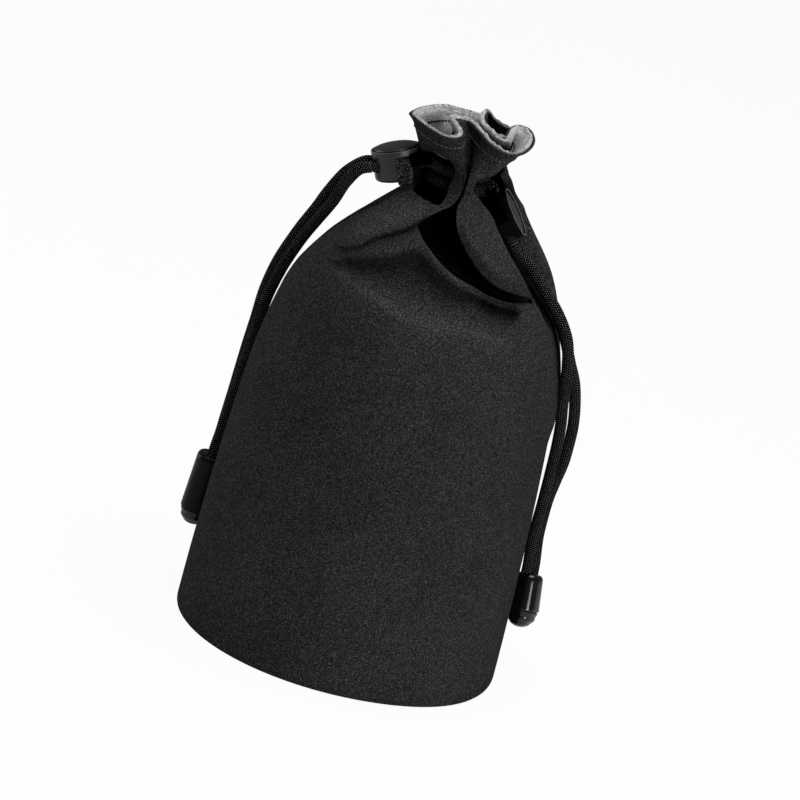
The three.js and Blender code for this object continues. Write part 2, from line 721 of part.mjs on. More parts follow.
// Rounded rectangle as a ring of points
function roundedRing(width, depth, corner, height) {
  const stepsPerCorner = 4;
  const points = [];
  for (const [quarter, [sx, sy]] of [[1, 1], [-1, 1], [-1, -1], [1, -1]].entries()) {
    for (let i = 0; i <= stepsPerCorner; i += 1) {
      const angle = (Math.PI / 2) * (quarter + i / stepsPerCorner);
      const x = sx * (width / 2 - corner) + corner * Math.cos(angle);
      const y = sy * (depth / 2 - corner) + corner * Math.sin(angle);
      points.push(new THREE.Vector3(x, y, height));
    }
  }
  return points;
}

// Ring of the sleeve's section, which narrows upwards, with its sides moved inwards by an inset
function sleeveRing(sleeve, height, inset, scale = 1) {
  const taper = THREE.MathUtils.mapLinear(height, -sleeve.length, 0, 1, sleeve.topScale);
  const width = (SLEEVE_WIDTH * taper - 2 * inset) * scale;
  const depth = (SLEEVE_DEPTH * taper - 2 * inset) * scale;
  return roundedRing(width, depth, (SLEEVE_CORNER * taper - inset) * scale, height);
}

// Cord end, in its own frame: origin at the middle of its top, hanging down -Z, with its two cords along Y
function makeCordEnd(side, sleeve, { foot, down, across }) {
  const end = new THREE.Group();
  const up = down.clone().negate();
  const basis = new THREE.Matrix4().makeBasis(across.clone().cross(up), across, up);
  end.quaternion.setFromRotationMatrix(basis);
  end.position.copy(foot).addScaledVector(down, CORD_END_GAP);
  pouch.add(end);
  const bottom = -sleeve.length;
  const cavityTop = -SLEEVE_TOP_WALL;
  const capTop = bottom - LAYER_GAP;
  const spigotTop = bottom + CAP_SPIGOT_LENGTH;
  const knotMiddle = (cavityTop + spigotTop) / 2;
  const sectionAt = (height, inset, scale) => sleeveRing(sleeve, height, inset, scale);
  const body = loft([sectionAt(bottom, 0), sectionAt(0, 0)]);
  const cavity = loft([sectionAt(bottom - SLEEVE_WALL, SLEEVE_WALL), sectionAt(cavityTop, SLEEVE_WALL)]);
  const slotHalf = CORD_RADIUS + LAYER_GAP;
  const slots = [-1, 1].map((sign) =>
    bar(slotHalf, knotMiddle, SLEEVE_WALL, CORD_SIDES)
      .translate(0, (sign * STRAND_SPACING) / 2, 0),
  );
  addPiece(`${side}_cord_end_sleeve`, cut(body, cavity, ...slots), GLOSS_PLASTIC, end);

  const domeSteps = 5;
  const domeRings = Array.from({ length: domeSteps }, (_, i) => {
    const angle = (Math.PI / 2) * (i / domeSteps);
    const scale = Math.cos(angle);
    const points = sectionAt(bottom, CAP_INSET, scale);
    points.forEach((point) => point.setZ(capTop - CAP_HEIGHT * Math.sin(angle)));
    return points;
  });
  const dome = loft(domeRings.reverse());
  const spigotInset = SLEEVE_WALL + LAYER_GAP;
  const spigot = loft([sectionAt(capTop - LAYER_GAP, spigotInset), sectionAt(spigotTop, spigotInset)]);
  addPiece(`${side}_cord_end_cap`, join(dome, spigot), GLOSS_PLASTIC, end);

  const lump = new THREE.SphereGeometry(KNOT_RADIUS, KNOT_SIDES, KNOT_RINGS).translate(0, 0, knotMiddle);
  const stubs = [-1, 1].map((sign) =>
    bar(CORD_RADIUS, knotMiddle, 0, CORD_SIDES)
      .translate(0, (sign * STRAND_SPACING) / 2, 0),
  );
  addPiece(`${side}_cord_end_knot`, join(lump, ...stubs), BRAID, end);
}

makeBag();
const SIDES = [
  {
    side: "left",
    sideTurn: Math.PI,
    place: { standoff: LEFT_LOCK_STANDOFF, rise: LEFT_LOCK_RISE, tilt: LEFT_LOCK_TILT },
    loopHeight: LEFT_LOOP_HEIGHT,
    cords: { route: LEFT_ROUTE, turns: LEFT_PAIR_TURNS, foot: LEFT_FOOT, endDown: LEFT_END_DOWN },
    sleeve: LEFT_SLEEVE,
  },
  {
    side: "right",
    sideTurn: 0,
    place: { standoff: RIGHT_LOCK_STANDOFF, rise: RIGHT_LOCK_RISE, tilt: RIGHT_LOCK_TILT },
    loopHeight: RIGHT_LOOP_HEIGHT,
    cords: { route: RIGHT_ROUTE, turns: RIGHT_PAIR_TURNS, foot: RIGHT_FOOT, endDown: RIGHT_END_DOWN },
    sleeve: RIGHT_SLEEVE,
  },
];
for (const { side, sideTurn, place, loopHeight, cords, sleeve } of SIDES) {
  makeLock(side, sideTurn, place);
  makeNeckCord(side, sideTurn, place, loopHeight);
  makeCordEnd(side, sleeve, makeFreeCords(side, sideTurn, place, cords));
}

export default pouch;
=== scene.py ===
"""Drawstring lens pouch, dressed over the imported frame. Lengths are in millimetres until a mesh is made."""
import math

import bmesh
import bpy
import numpy as np
from mathutils import Matrix, Vector


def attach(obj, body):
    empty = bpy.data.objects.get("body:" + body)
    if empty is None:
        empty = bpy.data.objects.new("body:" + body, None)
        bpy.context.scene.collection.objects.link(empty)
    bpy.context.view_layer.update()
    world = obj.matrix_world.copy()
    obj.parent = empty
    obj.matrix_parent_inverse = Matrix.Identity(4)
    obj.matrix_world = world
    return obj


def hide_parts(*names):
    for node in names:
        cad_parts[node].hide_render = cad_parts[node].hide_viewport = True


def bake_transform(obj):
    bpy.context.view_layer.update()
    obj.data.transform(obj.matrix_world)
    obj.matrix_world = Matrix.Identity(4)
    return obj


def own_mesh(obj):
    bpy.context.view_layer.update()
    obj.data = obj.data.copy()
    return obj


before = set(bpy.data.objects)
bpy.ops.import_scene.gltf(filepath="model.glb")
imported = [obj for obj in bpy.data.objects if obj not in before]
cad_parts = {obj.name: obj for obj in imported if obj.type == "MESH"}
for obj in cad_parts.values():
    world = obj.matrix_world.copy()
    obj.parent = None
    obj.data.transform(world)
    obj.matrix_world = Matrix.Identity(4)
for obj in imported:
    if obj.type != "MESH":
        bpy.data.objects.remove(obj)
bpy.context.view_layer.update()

MM = 0.001
UP = np.array([0, 0, 1.0])


# Small helpers: curves, frames and meshes

def smooth(low, high, value):
    share = np.clip((np.asarray(value, float) - low) / (high - low), 0, 1)
    return share * share * (3 - 2 * share)


def window(low, full, fading, gone, value):
    """1 from full to fading, eased down to 0 at low and at gone."""
    return smooth(low, full, value) * (1 - smooth(fading, gone, value))


def hump(value, middle, spread):
    return np.exp(-(((value - middle) / spread) ** 2))


def hermite(t, start, end, start_slope, end_slope):
    """Cubic between two values with given slopes, for t from 0 to 1."""
    t2, t3 = t * t, t * t * t
    ends = start * (2 * t3 - 3 * t2 + 1) + end * (3 * t2 - 2 * t3)
    return ends + start_slope * (t3 - 2 * t2 + t) + end_slope * (t3 - t2)


def monotone(points):
    """Cubic through points of (place, value) that doesn't overshoot them, flat beyond its ends."""
    places, values = np.array(points, float).T
    spans = np.diff(places)
    slopes = np.diff(values) / spans
    before, after = slopes[:-1], slopes[1:]
    same_way = before * after > 0
    harmonic = np.zeros(len(before))
    harmonic[same_way] = (2 * before * after)[same_way] / (before + after)[same_way]
    tangents = np.concatenate([slopes[:1], harmonic, slopes[-1:]])

    def at(place):
        place = np.clip(np.asarray(place, float), places[0], places[-1])
        k = np.clip(np.searchsorted(places, place, "right") - 1, 0, len(spans) - 1)
        t = (place - places[k]) / spans[k]
        return hermite(t, values[k], values[k + 1], spans[k] * tangents[k], spans[k] * tangents[k + 1])

    return at


def unit(vector):
    vector = np.asarray(vector, float)
    return vector / np.linalg.norm(vector)


def run_lengths(line):
    """Length gone along a line at each of its points."""
    return np.concatenate([[0], np.cumsum(np.linalg.norm(np.diff(line, axis=0), axis=1))])


def evenly(line, steps):
    gone = run_lengths(line)
    wanted = np.linspace(0, gone[-1], steps + 1)
    return np.stack([np.interp(wanted, gone, line[:, axis]) for axis in range(3)], axis=1)


def between(first, last, start, end, t):
    return ((end - t) * first + (t - start) * last) / (end - start)


def catmull_rom(points, steps):
    """Centripetal Catmull-Rom curve through points, at even lengths."""
    points = np.array(points, float)
    ends = [2 * points[0] - points[1], *points, 2 * points[-1] - points[-2]]
    fine = []
    for row in zip(ends, ends[1:], ends[2:], ends[3:]):
        knots = np.cumsum([0, *np.linalg.norm(np.diff(row, axis=0), axis=1) ** 0.5])
        for t in np.linspace(knots[1], knots[2], 24, endpoint=False):
            flat = [between(row[i], row[i + 1], knots[i], knots[i + 1], t) for i in range(3)]
            bent = [between(flat[i], flat[i + 1], knots[i], knots[i + 2], t) for i in range(2)]
            fine.append(between(*bent, knots[1], knots[2], t))
    fine.append(points[-1])
    return evenly(np.array(fine), steps)


def grid_faces(rows, columns, first=0):
    """Quads between rings of points."""
    row = np.arange(rows - 1)[:, None]
    column = np.arange(columns)[None, :]
    following = (column + 1) % columns
    quads = [row * columns + column, row * columns + following]
    quads += [(row + 1) * columns + following, (row + 1) * columns + column]
    return np.stack(quads, axis=-1).reshape(-1, 4) + first


def new_piece(name, points, faces, finish, sharp=None):
    """A mesh object from points in millimetres."""
    mesh = bpy.data.meshes.new(name)
    mesh.from_pydata((np.asarray(points, float).reshape(-1, 3) * MM).tolist(), [], [list(f) for f in faces])
    mesh.polygons.foreach_set("use_smooth", [True] * len(mesh.polygons))
    if sharp is not None:
        mesh.set_sharp_from_angle(angle=math.radians(sharp))
    mesh.update()
    piece = bpy.data.objects.new(name, mesh)
    bpy.context.collection.objects.link(piece)
    mesh.materials.append(finish)
    return piece


def settle(piece):
    """Applies a piece's modifiers to its mesh."""
    graph = bpy.context.evaluated_depsgraph_get()
    mesh = bpy.data.meshes.new_from_object(piece.evaluated_get(graph), depsgraph=graph)
    piece.modifiers.clear()
    piece.data = mesh


def thicken(piece, thickness):
    layer = piece.modifiers.new("thickness", "SOLIDIFY")
    layer.thickness = thickness * MM
    layer.offset = -1.0
    layer.use_even_offset = False
    settle(piece)


def loft(rings, close_ends=True):
    """Points and faces of a surface through rings of equal counts; the ends are closed by fans."""
    rings = np.array(rings, float)
    rows, columns, _ = rings.shape
    points = rings.reshape(-1, 3)
    faces = grid_faces(rows, columns).tolist()
    if close_ends:
        middles = [rings[0].mean(axis=0), rings[-1].mean(axis=0)]
        low, high = len(points), len(points) + 1
        points = np.concatenate([points, middles])
        last = (rows - 1) * columns
        for i in range(columns):
            following = (i + 1) % columns
            faces.append([low, following, i])
            faces.append([high, last + i, last + following])
    return points, faces


def once_round(count):
    """Even angles once round, without the last one, which is the first again."""
    return np.linspace(0, 2 * math.pi, count, endpoint=False)


def ring_of(radius, height, sides):
    """Points of a ring about Z; its radius may change round it."""
    turn = once_round(sides)
    return np.stack([radius * np.cos(turn), radius * np.sin(turn), np.full(sides, height)], axis=1)


def revolve(profile, sides):
    """Rings of a turned form about Z from a profile of radius and height, from the bottom up."""
    return [ring_of(radius, height, sides) for radius, height in profile]


def rounded(profile, radius, steps=4):
    """A profile with its inner corners rounded by short arcs."""
    profile = np.array(profile, float)
    points = [profile[0]]
    for before, corner, after in zip(profile, profile[1:], profile[2:]):
        reach = min(radius, 0.45 * np.linalg.norm(before - corner), 0.45 * np.linalg.norm(after - corner))
        start = corner + unit(before - corner) * reach
        end = corner + unit(after - corner) * reach
        for t in np.linspace(0, 1, steps + 1):
            points.append((1 - t) ** 2 * start + 2 * t * (1 - t) * corner + t * t * end)
    points.append(profile[-1])
    return points


def placed(points, origin, axes):
    """Points from a local frame of three axes into the row frame."""
    return np.asarray(points, float).reshape(-1, 3) @ np.array(axes, float) + np.array(origin, float)


def dress(piece, slot, *nodes):
    """Hides the solids that a piece stands for."""
    if nodes:
        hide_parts(*nodes)


def set_painted_shading(piece, painted_shading):
    """Stores the painted light and shade at each point: how much darker or lighter than its colour the cloth
    is drawn.
    """
    values = np.asarray(painted_shading, np.float32)
    piece.data.attributes.new("painted_shading", "FLOAT", "POINT").data.foreach_set("value", values)


# Materials

def add_node(tree, kind, sockets=None, **settings):
    """A node with its settings; each socket takes a constant or another node's output."""
    node = tree.nodes.new(kind)
    for key, value in settings.items():
        setattr(node, key, value)
    for key, value in (sockets or {}).items():
        if isinstance(value, bpy.types.NodeSocket):
            tree.links.new(value, node.inputs[key])
        else:
            node.inputs[key].default_value = value
    return node


class Finish:
    """Short way to write one node material."""

    def __init__(self, name, roughness, **sockets):
        self.material = bpy.data.materials.new(name)
        self.material.use_nodes = True
        self.tree = self.material.node_tree
        self.shader = self.tree.nodes["Principled BSDF"]
        self.shader.inputs["Roughness"].default_value = roughness
        for key, value in sockets.items():
            self.shader.inputs[key.replace("_", " ")].default_value = value

    def add(self, kind, sockets=None, **settings):
        return add_node(self.tree, kind, sockets, **settings)

    def math(self, operation, first, second=0.0):
        return self.add("ShaderNodeMath", {0: first, 1: second}, operation=operation).outputs[0]

    def place(self):
        return self.add("ShaderNodeTexCoord").outputs["Object"]

    def noise(self, scale, detail=2.0, roughness=0.5, stretch=None):
        vector = self.place()
        if stretch:
            vector = self.add("ShaderNodeMapping", {"Vector": vector, "Scale": stretch}).outputs[0]
        sockets = {"Vector": vector, "Scale": scale, "Detail": detail, "Roughness": roughness}
        return self.add("ShaderNodeTexNoise", sockets).outputs["Fac"]

    def ramp(self, value, stops):
        node = self.add("ShaderNodeValToRGB", {"Fac": value})
        elements = node.color_ramp.elements
        while len(elements) < len(stops):
            elements.new(0.5)
        for element, (position, grey) in zip(elements, stops):
            element.position = position
            element.color = (grey, grey, grey * 1.01, 1)
        return node.outputs["Color"]

    def feed(self, name, socket):
        self.tree.links.new(socket, self.shader.inputs[name])

    def colour(self, socket):
        self.feed("Base Color", socket)

    def rough(self, value, low, high):
        sockets = {"Value": value, "To Min": low, "To Max": high}
        self.feed("Roughness", self.add("ShaderNodeMapRange", sockets).outputs[0])

    def bump(self, height, strength, distance):
        sockets = {"Height": height, "Strength": strength, "Distance": distance}
        self.feed("Normal", self.add("ShaderNodeBump", sockets).outputs[0])

    def times(self, first, second):
        sockets = {0: 1.0, 6: first, 7: second}
        return self.add("ShaderNodeMix", sockets, data_type="RGBA", blend_type="MULTIPLY").outputs[2]

    def with_painted_shading(self, tone):
        """Colour from a tone, made darker or lighter by the piece's painted light and shade."""
        painted_shading = self.add("ShaderNodeAttribute", attribute_name="painted_shading").outputs["Fac"]
        self.colour(self.times(tone, self.math("ADD", painted_shading, 1.0)))


def make_fabric():
    """Black felt-like fabric with fine light specks."""
    finish = Finish("outer_fabric", 1.0, Specular_IOR_Level=0.0)
    grain = finish.noise(3000, 3.0, 0.7)
    flecks = finish.noise(1500, 2.0, 0.6)
    cloudy = finish.noise(38, 3.0, 0.55)
    speckle = finish.ramp(grain, [(0.36, 0.007), (0.52, 0.023), (0.70, 0.095)])
    fleck = finish.ramp(flecks, [(0.36, 0.7), (0.66, 1.4)])
    patch = finish.ramp(cloudy, [(0.3, 0.88), (0.7, 1.12)])
    finish.with_painted_shading(finish.times(finish.times(speckle, fleck), patch))
    finish.bump(grain, 0.35, 0.0003)
    return finish.material


def make_lining():
    finish = Finish("lining", 0.95, Sheen_Weight=0.3, Sheen_Roughness=0.6, Specular_IOR_Level=0.15)
    pile = finish.noise(1500, 4.0, 0.65)
    tufts = finish.noise(420, 3.0, 0.6)
    tone = finish.ramp(pile, [(0.3, 0.14), (0.5, 0.34), (0.72, 0.66)])
    finish.with_painted_shading(finish.times(tone, finish.ramp(tufts, [(0.3, 0.6), (0.7, 1.12)])))
    finish.bump(pile, 0.7, 0.0006)
    return finish.material


def make_foam():
    finish = Finish("foam", 1.0)
    cells = finish.add("ShaderNodeTexVoronoi", {"Vector": finish.place(), "Scale": 900.0}).outputs["Distance"]
    finish.colour(finish.ramp(cells, [(0.0, 0.05), (0.6, 0.12)]))
    finish.bump(cells, 0.5, 0.0004)
    return finish.material


BRAID_STRANDS = 8
BRAID_PITCH = 0.8


def make_braid():
    """U runs once round the cord and V counts braid pitches along it."""
    finish = Finish("braid", 0.8, Specular_IOR_Level=0.0)
    where = finish.add("ShaderNodeSeparateXYZ", {0: finish.add("ShaderNodeTexCoord").outputs["UV"]})
    around = finish.math("MULTIPLY", where.outputs[0], float(BRAID_STRANDS))
    along = where.outputs[1]
    first, second = finish.math("ADD", around, along), finish.math("SUBTRACT", around, along)
    humps = [
        finish.math("SINE", finish.math("MULTIPLY", finish.math("FRACT", turn), math.pi))
        for turn in (first, second)
    ]
    woven = finish.math("MULTIPLY", humps[0], humps[1])
    fibres = finish.noise(2600, 2.0, 0.6)
    relief_and_glint = finish.math("MULTIPLY", woven, finish.math("ADD", finish.math("MULTIPLY", fibres, 0.9), 0.55))
    # The strands' raised tops are coloured light: painted highlights on the braid, over its real relief.
    finish.colour(finish.ramp(relief_and_glint, [(0.35, 0.0015), (0.7, 0.009), (0.95, 0.16)]))
    finish.bump(relief_and_glint, 0.5, 0.0003)
    return finish.material


def make_webbing(name, light):
    finish = Finish(name, 0.9, Specular_IOR_Level=0.0)
    picks = finish.add("ShaderNodeTexVoronoi", {"Vector": finish.place(), "Scale": 2600.0, "Randomness": 0.9})
    fibres = finish.noise(3600, 3.0, 0.6)
    raised = finish.math("SUBTRACT", 1.0, finish.math("MULTIPLY", picks.outputs["Distance"], 1.5))
    height = finish.math("MULTIPLY", raised, finish.math("ADD", fibres, 0.3))
    finish.colour(finish.ramp(height, [(0.25, 0.02 * light), (0.5, 0.14 * light), (0.8, light)]))
    finish.bump(height, 0.7, 0.0004)
    return finish.material


def make_thread():
    finish = Finish("thread", 0.8, Specular_IOR_Level=0.1)
    fibres = finish.noise(2600, 3.0, 0.6)
    finish.colour(finish.ramp(fibres, [(0.35, 0.02), (0.55, 0.09), (0.75, 0.26)]))
    return finish.material


def make_plastic(name, dark, light, rough_low, rough_high, specular):
    finish = Finish(name, rough_low, Specular_IOR_Level=specular)
    mottle = finish.noise(260, 3.0, 0.6)
    grain = finish.noise(3200, 2.0, 0.5)
    finish.colour(finish.ramp(mottle, [(0.3, dark), (0.72, light)]))
    finish.rough(mottle, rough_low, rough_high)
    finish.bump(grain, 0.08, 0.0001)
    return finish.material


def make_steel():
    finish = Finish("spring_steel", 0.3, Metallic=1.0)
    drawn = finish.noise(900, 3.0, 0.6)
    finish.colour(finish.ramp(drawn, [(0.3, 0.35), (0.7, 0.6)]))
    finish.rough(drawn, 0.25, 0.4)
    return finish.material


FABRIC = make_fabric()
LINING = make_lining()
FOAM = make_foam()
BRAID = make_braid()
WEBBING = make_webbing("webbing", 0.6)
# A near-black copy of the webbing: painted shade on the locks' straps and on the right lock's sling; the
# inner hem stitches use it as dark thread.
THREAD_AND_SHADE_WEBBING = make_webbing("thread_and_shade_webbing", 0.008)
THREAD = make_thread()
LOCK_PLASTIC = make_plastic("lock_plastic", 0.006, 0.014, 0.36, 0.46, 0.45)
# Lighter grey for the ring's top: painted highlight on the flange.
RING_PAINTED_HIGHLIGHT = make_plastic("lock_ring_painted_highlight", 0.06, 0.1, 0.3, 0.4, 0.4)
# Near-black copy of the lock plastic: painted shade on the right lock's cup and the left lock's inner end.
LOCK_PLASTIC_PAINTED_SHADE = make_plastic("lock_cup_painted_shade", 0.002, 0.003, 0.6, 0.7, 0.05)
END_PLASTIC = make_plastic("cord_end_plastic", 0.002, 0.004, 0.1, 0.16, 0.45)
END_MATTE = make_plastic("cord_end_matte", 0.002, 0.004, 0.3, 0.4, 0.12)
STEEL = make_steel()


# Camera: the photograph's angle, with the pouch leaning 15 degrees to the right in the frame

def make_camera():
    data = bpy.data.cameras.new("camera")
    data.lens = 210
    data.sensor_width = 36
    data.clip_end = 20
    camera = bpy.data.objects.new("camera", data)
    bpy.context.collection.objects.link(camera)
    elevation, roll, distance = math.radians(17), math.radians(15), 1.5
    target = Vector((0.6, 0, 84)) * MM
    back = Vector((0, -math.cos(elevation), math.sin(elevation)))
    level_right = Vector((1, 0, 0))
    level_up = back.cross(level_right)
    right = math.cos(roll) * level_right + math.sin(roll) * level_up
    up = math.cos(roll) * level_up - math.sin(roll) * level_right
    turn = Matrix((right, up, back)).transposed().to_4x4()
    camera.matrix_world = Matrix.Translation(target + back * distance) @ turn
    bpy.context.scene.camera = camera


make_camera()


# Spring locks: place and axes of each lock's own frame, as in the solids

class Lock:
    def __init__(self, side, tilt, middle):
        sign = -1 if side == "left" else 1
        tilt = math.radians(tilt)
        self.side = side
        self.middle = np.array(middle, float)
        self.out = np.array([sign * math.cos(tilt), 0, -math.sin(tilt)])
        self.across = np.array([0, sign, 0])
        self.button = np.array([sign * math.sin(tilt), 0, math.cos(tilt)])
        self.axes = [self.out, self.across, self.button]

    def place(self, x, y, z):
        return placed([[x, y, z]], self.middle, self.axes)[0]

    def bend(self, piece, bodies, near, far, height):
        """Bakes a piece's placement into its mesh."""
        start, end = (self.place(x, 0, height) * MM for x in (near, far))
        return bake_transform(piece)


LOCKS = [Lock("left", 22, (-17.6, 0, 155.3)), Lock("right", 52, (12.9, 0, 148.1))]

LOCK_RADIUS = 7.9
BORE_HEIGHT = 5.4
BORE_OFFSET = 3.9
CORD_RADIUS = 1.9
CORD_EXIT = LOCK_RADIUS + 0.4
TUBE_SIDES = 28
BRAID_RELIEF = 0.1


# Cords

def tube(name, line):
    """A braided tube along a line: its surface has the braid's humps, and UVs that follow them."""
    line = np.asarray(line, float)
    along = np.gradient(line, axis=0)
    along /= np.linalg.norm(along, axis=1)[:, None]
    pitches = run_lengths(line) / BRAID_PITCH
    side = unit(np.cross(along[0], [0.31, 0.95, 0.05]))
    turns = np.arange(TUBE_SIDES) / TUBE_SIDES
    cosine, sine = np.cos(2 * math.pi * turns)[:, None], np.sin(2 * math.pi * turns)[:, None]
    rings = []
    for centre, tangent, pitch in zip(line, along, pitches):
        side = unit(side - tangent * np.dot(side, tangent))
        other = np.cross(tangent, side)
        strands = [np.sin(math.pi * (BRAID_STRANDS * turns + way * pitch)) for way in (1, -1)]
        reach = CORD_RADIUS - BRAID_RELIEF + 1.5 * BRAID_RELIEF * np.abs(strands[0] * strands[1])
        rings.append(centre + reach[:, None] * (cosine * side + sine * other))
    points, faces = loft(rings)
    piece = new_piece(name, points, faces, BRAID)
    corners = []
    for low, high in zip(pitches, pitches[1:]):
        for k in range(TUBE_SIDES):
            near, far = k / TUBE_SIDES, (k + 1) / TUBE_SIDES
            corners += [near, low, far, low, far, high, near, high]
    end_corners = 2 * TUBE_SIDES * 3
    layer = piece.data.uv_layers.new(name="UVMap")
    layer.data.foreach_set("uv", corners + [0.5 / BRAID_STRANDS, 0.0] * end_corners)
    return piece


LEFT_ROUTE = [
    (-34.1, 1.1, 150.9), (-37.3, 2.5, 143.3), (-40.2, 4.1, 136.2), (-43.3, 5.9, 129), (-45.9, 7.7, 121.8),
    (-48.1, 9.5, 114.5), (-50.1, 11.8, 104), (-50.9, 14, 93), (-51.5, 15.6, 84), (-52, 17.1, 75),
    (-52.5, 18.5, 66), (-53.1, 19.8, 57), (-53.5, 20.8, 50),
]
RIGHT_ROUTE = [
    (29.9, -2, 138.2), (36.1, -3.5, 132.3), (41.9, -4.9, 126.6), (46.6, -5.8, 119.6), (49.5, -5.6, 111.8),
    (51.7, -4.2, 104.8), (53.2, -1.6, 97.5), (54.5, 1.6, 89.8), (55.1, 5, 82), (55.3, 8.5, 74.2),
    (55.1, 12, 66.4), (54.9, 15, 58.7), (54.9, 16.8, 51.8), (55.1, 18, 44.5),
]
# The pair's turn in degrees at shares of its route
LEFT_PAIR_TURNS = [(0, 90), (0.18, 124), (0.4, 120), (0.6, 106), (1, 92)]
RIGHT_PAIR_TURNS = [(0, 90), (0.1, 106), (0.26, 106), (0.5, 16), (0.6, 30), (0.8, 70), (1, 60)]
# Route, foot of the route, way the cord end hangs, and the pair's turns
FREE_CORDS = {
    "left": (LEFT_ROUTE, (-54.1, 21.5, 42.8), (-0.06, 0.01, -1), LEFT_PAIR_TURNS),
    "right": (RIGHT_ROUTE, (56.4, 18, 32.4), (0.06, -0.29, -0.95), RIGHT_PAIR_TURNS),
}
CORD_LEAD = 3
STRAND_HALF_APART = 2.05
JOIN_LENGTH = 30
CORD_STEP = 0.2


def turn_at(stations, share):
    """Angle at shares of a route, eased from each station to the next, in radians."""
    places, angles = np.array(stations, float).T
    k = np.clip(np.searchsorted(places, share, "right") - 1, 0, len(places) - 2)
    eased = smooth(0, 1, (share - places[k]) / (places[k + 1] - places[k]))
    return np.radians(angles[k] + (angles[k + 1] - angles[k]) * eased)


def free_cord_lines(lock):
    """The two strands' lines, and the frame in which the cord end hangs."""
    route, foot, down, turns = FREE_CORDS[lock.side]
    foot, down = np.array(foot, float), unit(down)
    points = np.array([
        lock.place(CORD_EXIT, 0, BORE_HEIGHT), lock.place(CORD_EXIT + CORD_LEAD, 0, BORE_HEIGHT),
        *route, foot - CORD_LEAD * down, foot,
    ])
    gone = run_lengths(points)
    turn = turn_at(turns, gone / gone[-1])
    half = BORE_OFFSET + (STRAND_HALF_APART - BORE_OFFSET) * smooth(0, JOIN_LENGTH, gone)
    across = []
    for i, angle in enumerate(turn):
        along = down if i == len(points) - 1 else unit(points[i + 1] - points[max(i - 1, 0)])
        flat = np.array([math.cos(angle), math.sin(angle), 0])
        across.append(unit(flat - along * np.dot(flat, along)))
    across = np.array(across)
    steps = int(gone[-1] / CORD_STEP)
    lines = [catmull_rom(points + sign * half[:, None] * across, steps) for sign in (-1, 1)]
    up = -down
    return lines, (foot + 0.4 * down, [np.cross(across[-1], up), across[-1], up])


# Moulded cord end, in its own frame: origin at the middle of its top, hanging down -Z

class Sleeve:
    def __init__(self, length, top_scale):
        self.length = length
        self.top_scale = top_scale


SLEEVES = {"left": Sleeve(19, 0.95), "right": Sleeve(11.7, 0.86)}
SLEEVE_WIDTH = 10.4
SLEEVE_DEPTH = 10.8
SLEEVE_CORNER = 4.4
CAP_HEIGHT = 5.4


def rounded_ring(width, depth, corner, height, steps=10):
    points = []
    for quarter, (sx, sy) in enumerate([(1, 1), (-1, 1), (-1, -1), (1, -1)]):
        for angle in np.linspace(0, math.pi / 2, steps) + quarter * math.pi / 2:
            x = sx * (width / 2 - corner) + corner * math.cos(angle)
            y = sy * (depth / 2 - corner) + corner * math.sin(angle)
            points.append((x, y, height))
    return np.array(points)


def sleeve_ring(sleeve, height, inset=0.0, scale=1.0):
    taper = 1 - (1 - sleeve.top_scale) * (height + sleeve.length) / sleeve.length
    width = (SLEEVE_WIDTH * taper - 2 * inset) * scale
    depth = (SLEEVE_DEPTH * taper - 2 * inset) * scale
    return rounded_ring(width, depth, max(SLEEVE_CORNER * taper - inset, 0.4) * scale, height)


def make_sleeve(lock, hang):
    sleeve = SLEEVES[lock.side]
    low = -sleeve.length
    edges = [(low, 1.0), (low, 0.35), (low + 0.12, 0.1), (low + 0.4, 0)]
    edges += [(height, 0) for height in np.linspace(low + 1, -1.8, 12)]
    edges += [(-0.9, 0.03), (-0.4, 0.16), (0, 0.4), (0.3, 0.75), (0.5, 1.3), (0.55, 1.8), (0.55, 2.6)]
    points, faces = loft([sleeve_ring(sleeve, height, inset) for height, inset in edges])
    finish = END_MATTE if lock.side == "left" else END_PLASTIC
    piece = new_piece(f"{lock.side}_cord_sleeve", placed(points, *hang), faces, finish, sharp=50)
    dress(piece, "cord_end_plastic", f"{lock.side}_cord_end_sleeve")
    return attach(piece, f"{lock.side}_cords")


def make_cap(lock, hang):
    """Domed cap with two shallow ribs round its upper edge."""
    sleeve = SLEEVES[lock.side]
    top = -sleeve.length - 0.3
    rings = []
    for share in np.linspace(0, 1, 26):
        angle = share * math.pi / 2
        rib = 0.16 * (math.cos(share * 6 * math.pi) - 1) * (1 - smooth(0.45, 0.7, share))
        ring = sleeve_ring(sleeve, -sleeve.length, 0.3 - rib, max(math.cos(angle), 0.02))
        ring[:, 2] = top - CAP_HEIGHT * math.sin(angle)
        rings.append(ring)
    lip = sleeve_ring(sleeve, -sleeve.length, 1.3)
    lip[:, 2] = top + 0.5
    points, faces = loft([*rings[::-1], lip])
    piece = new_piece(f"{lock.side}_cord_cap", placed(points, *hang), faces, END_PLASTIC, sharp=60)
    dress(piece, "cord_end_plastic", f"{lock.side}_cord_end_cap")
    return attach(piece, f"{lock.side}_cords")


KNOT_RADIUS = 2.8
KNOT_RELIEF = 0.25
KNOT_SIDES = 36


def make_knot(lock, hang):
    """The lump of knotted cord inside the sleeve."""
    middle = (-1.6 + 3 - SLEEVES[lock.side].length) / 2
    turn = once_round(KNOT_SIDES)
    rings = []
    for angle in np.linspace(0.04, 0.96, 22) * math.pi:
        wrap = KNOT_RADIUS - KNOT_RELIEF + KNOT_RELIEF * np.cos(3 * turn + 7 * angle)
        rings.append(ring_of(wrap * math.sin(angle), middle - KNOT_RADIUS * math.cos(angle), KNOT_SIDES))
    points, faces = loft(rings)
    piece = new_piece(f"{lock.side}_cord_knot", placed(points, *hang), faces, BRAID)
    dress(piece, "braid", f"{lock.side}_cord_end_knot")
    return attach(piece, f"{lock.side}_cords")


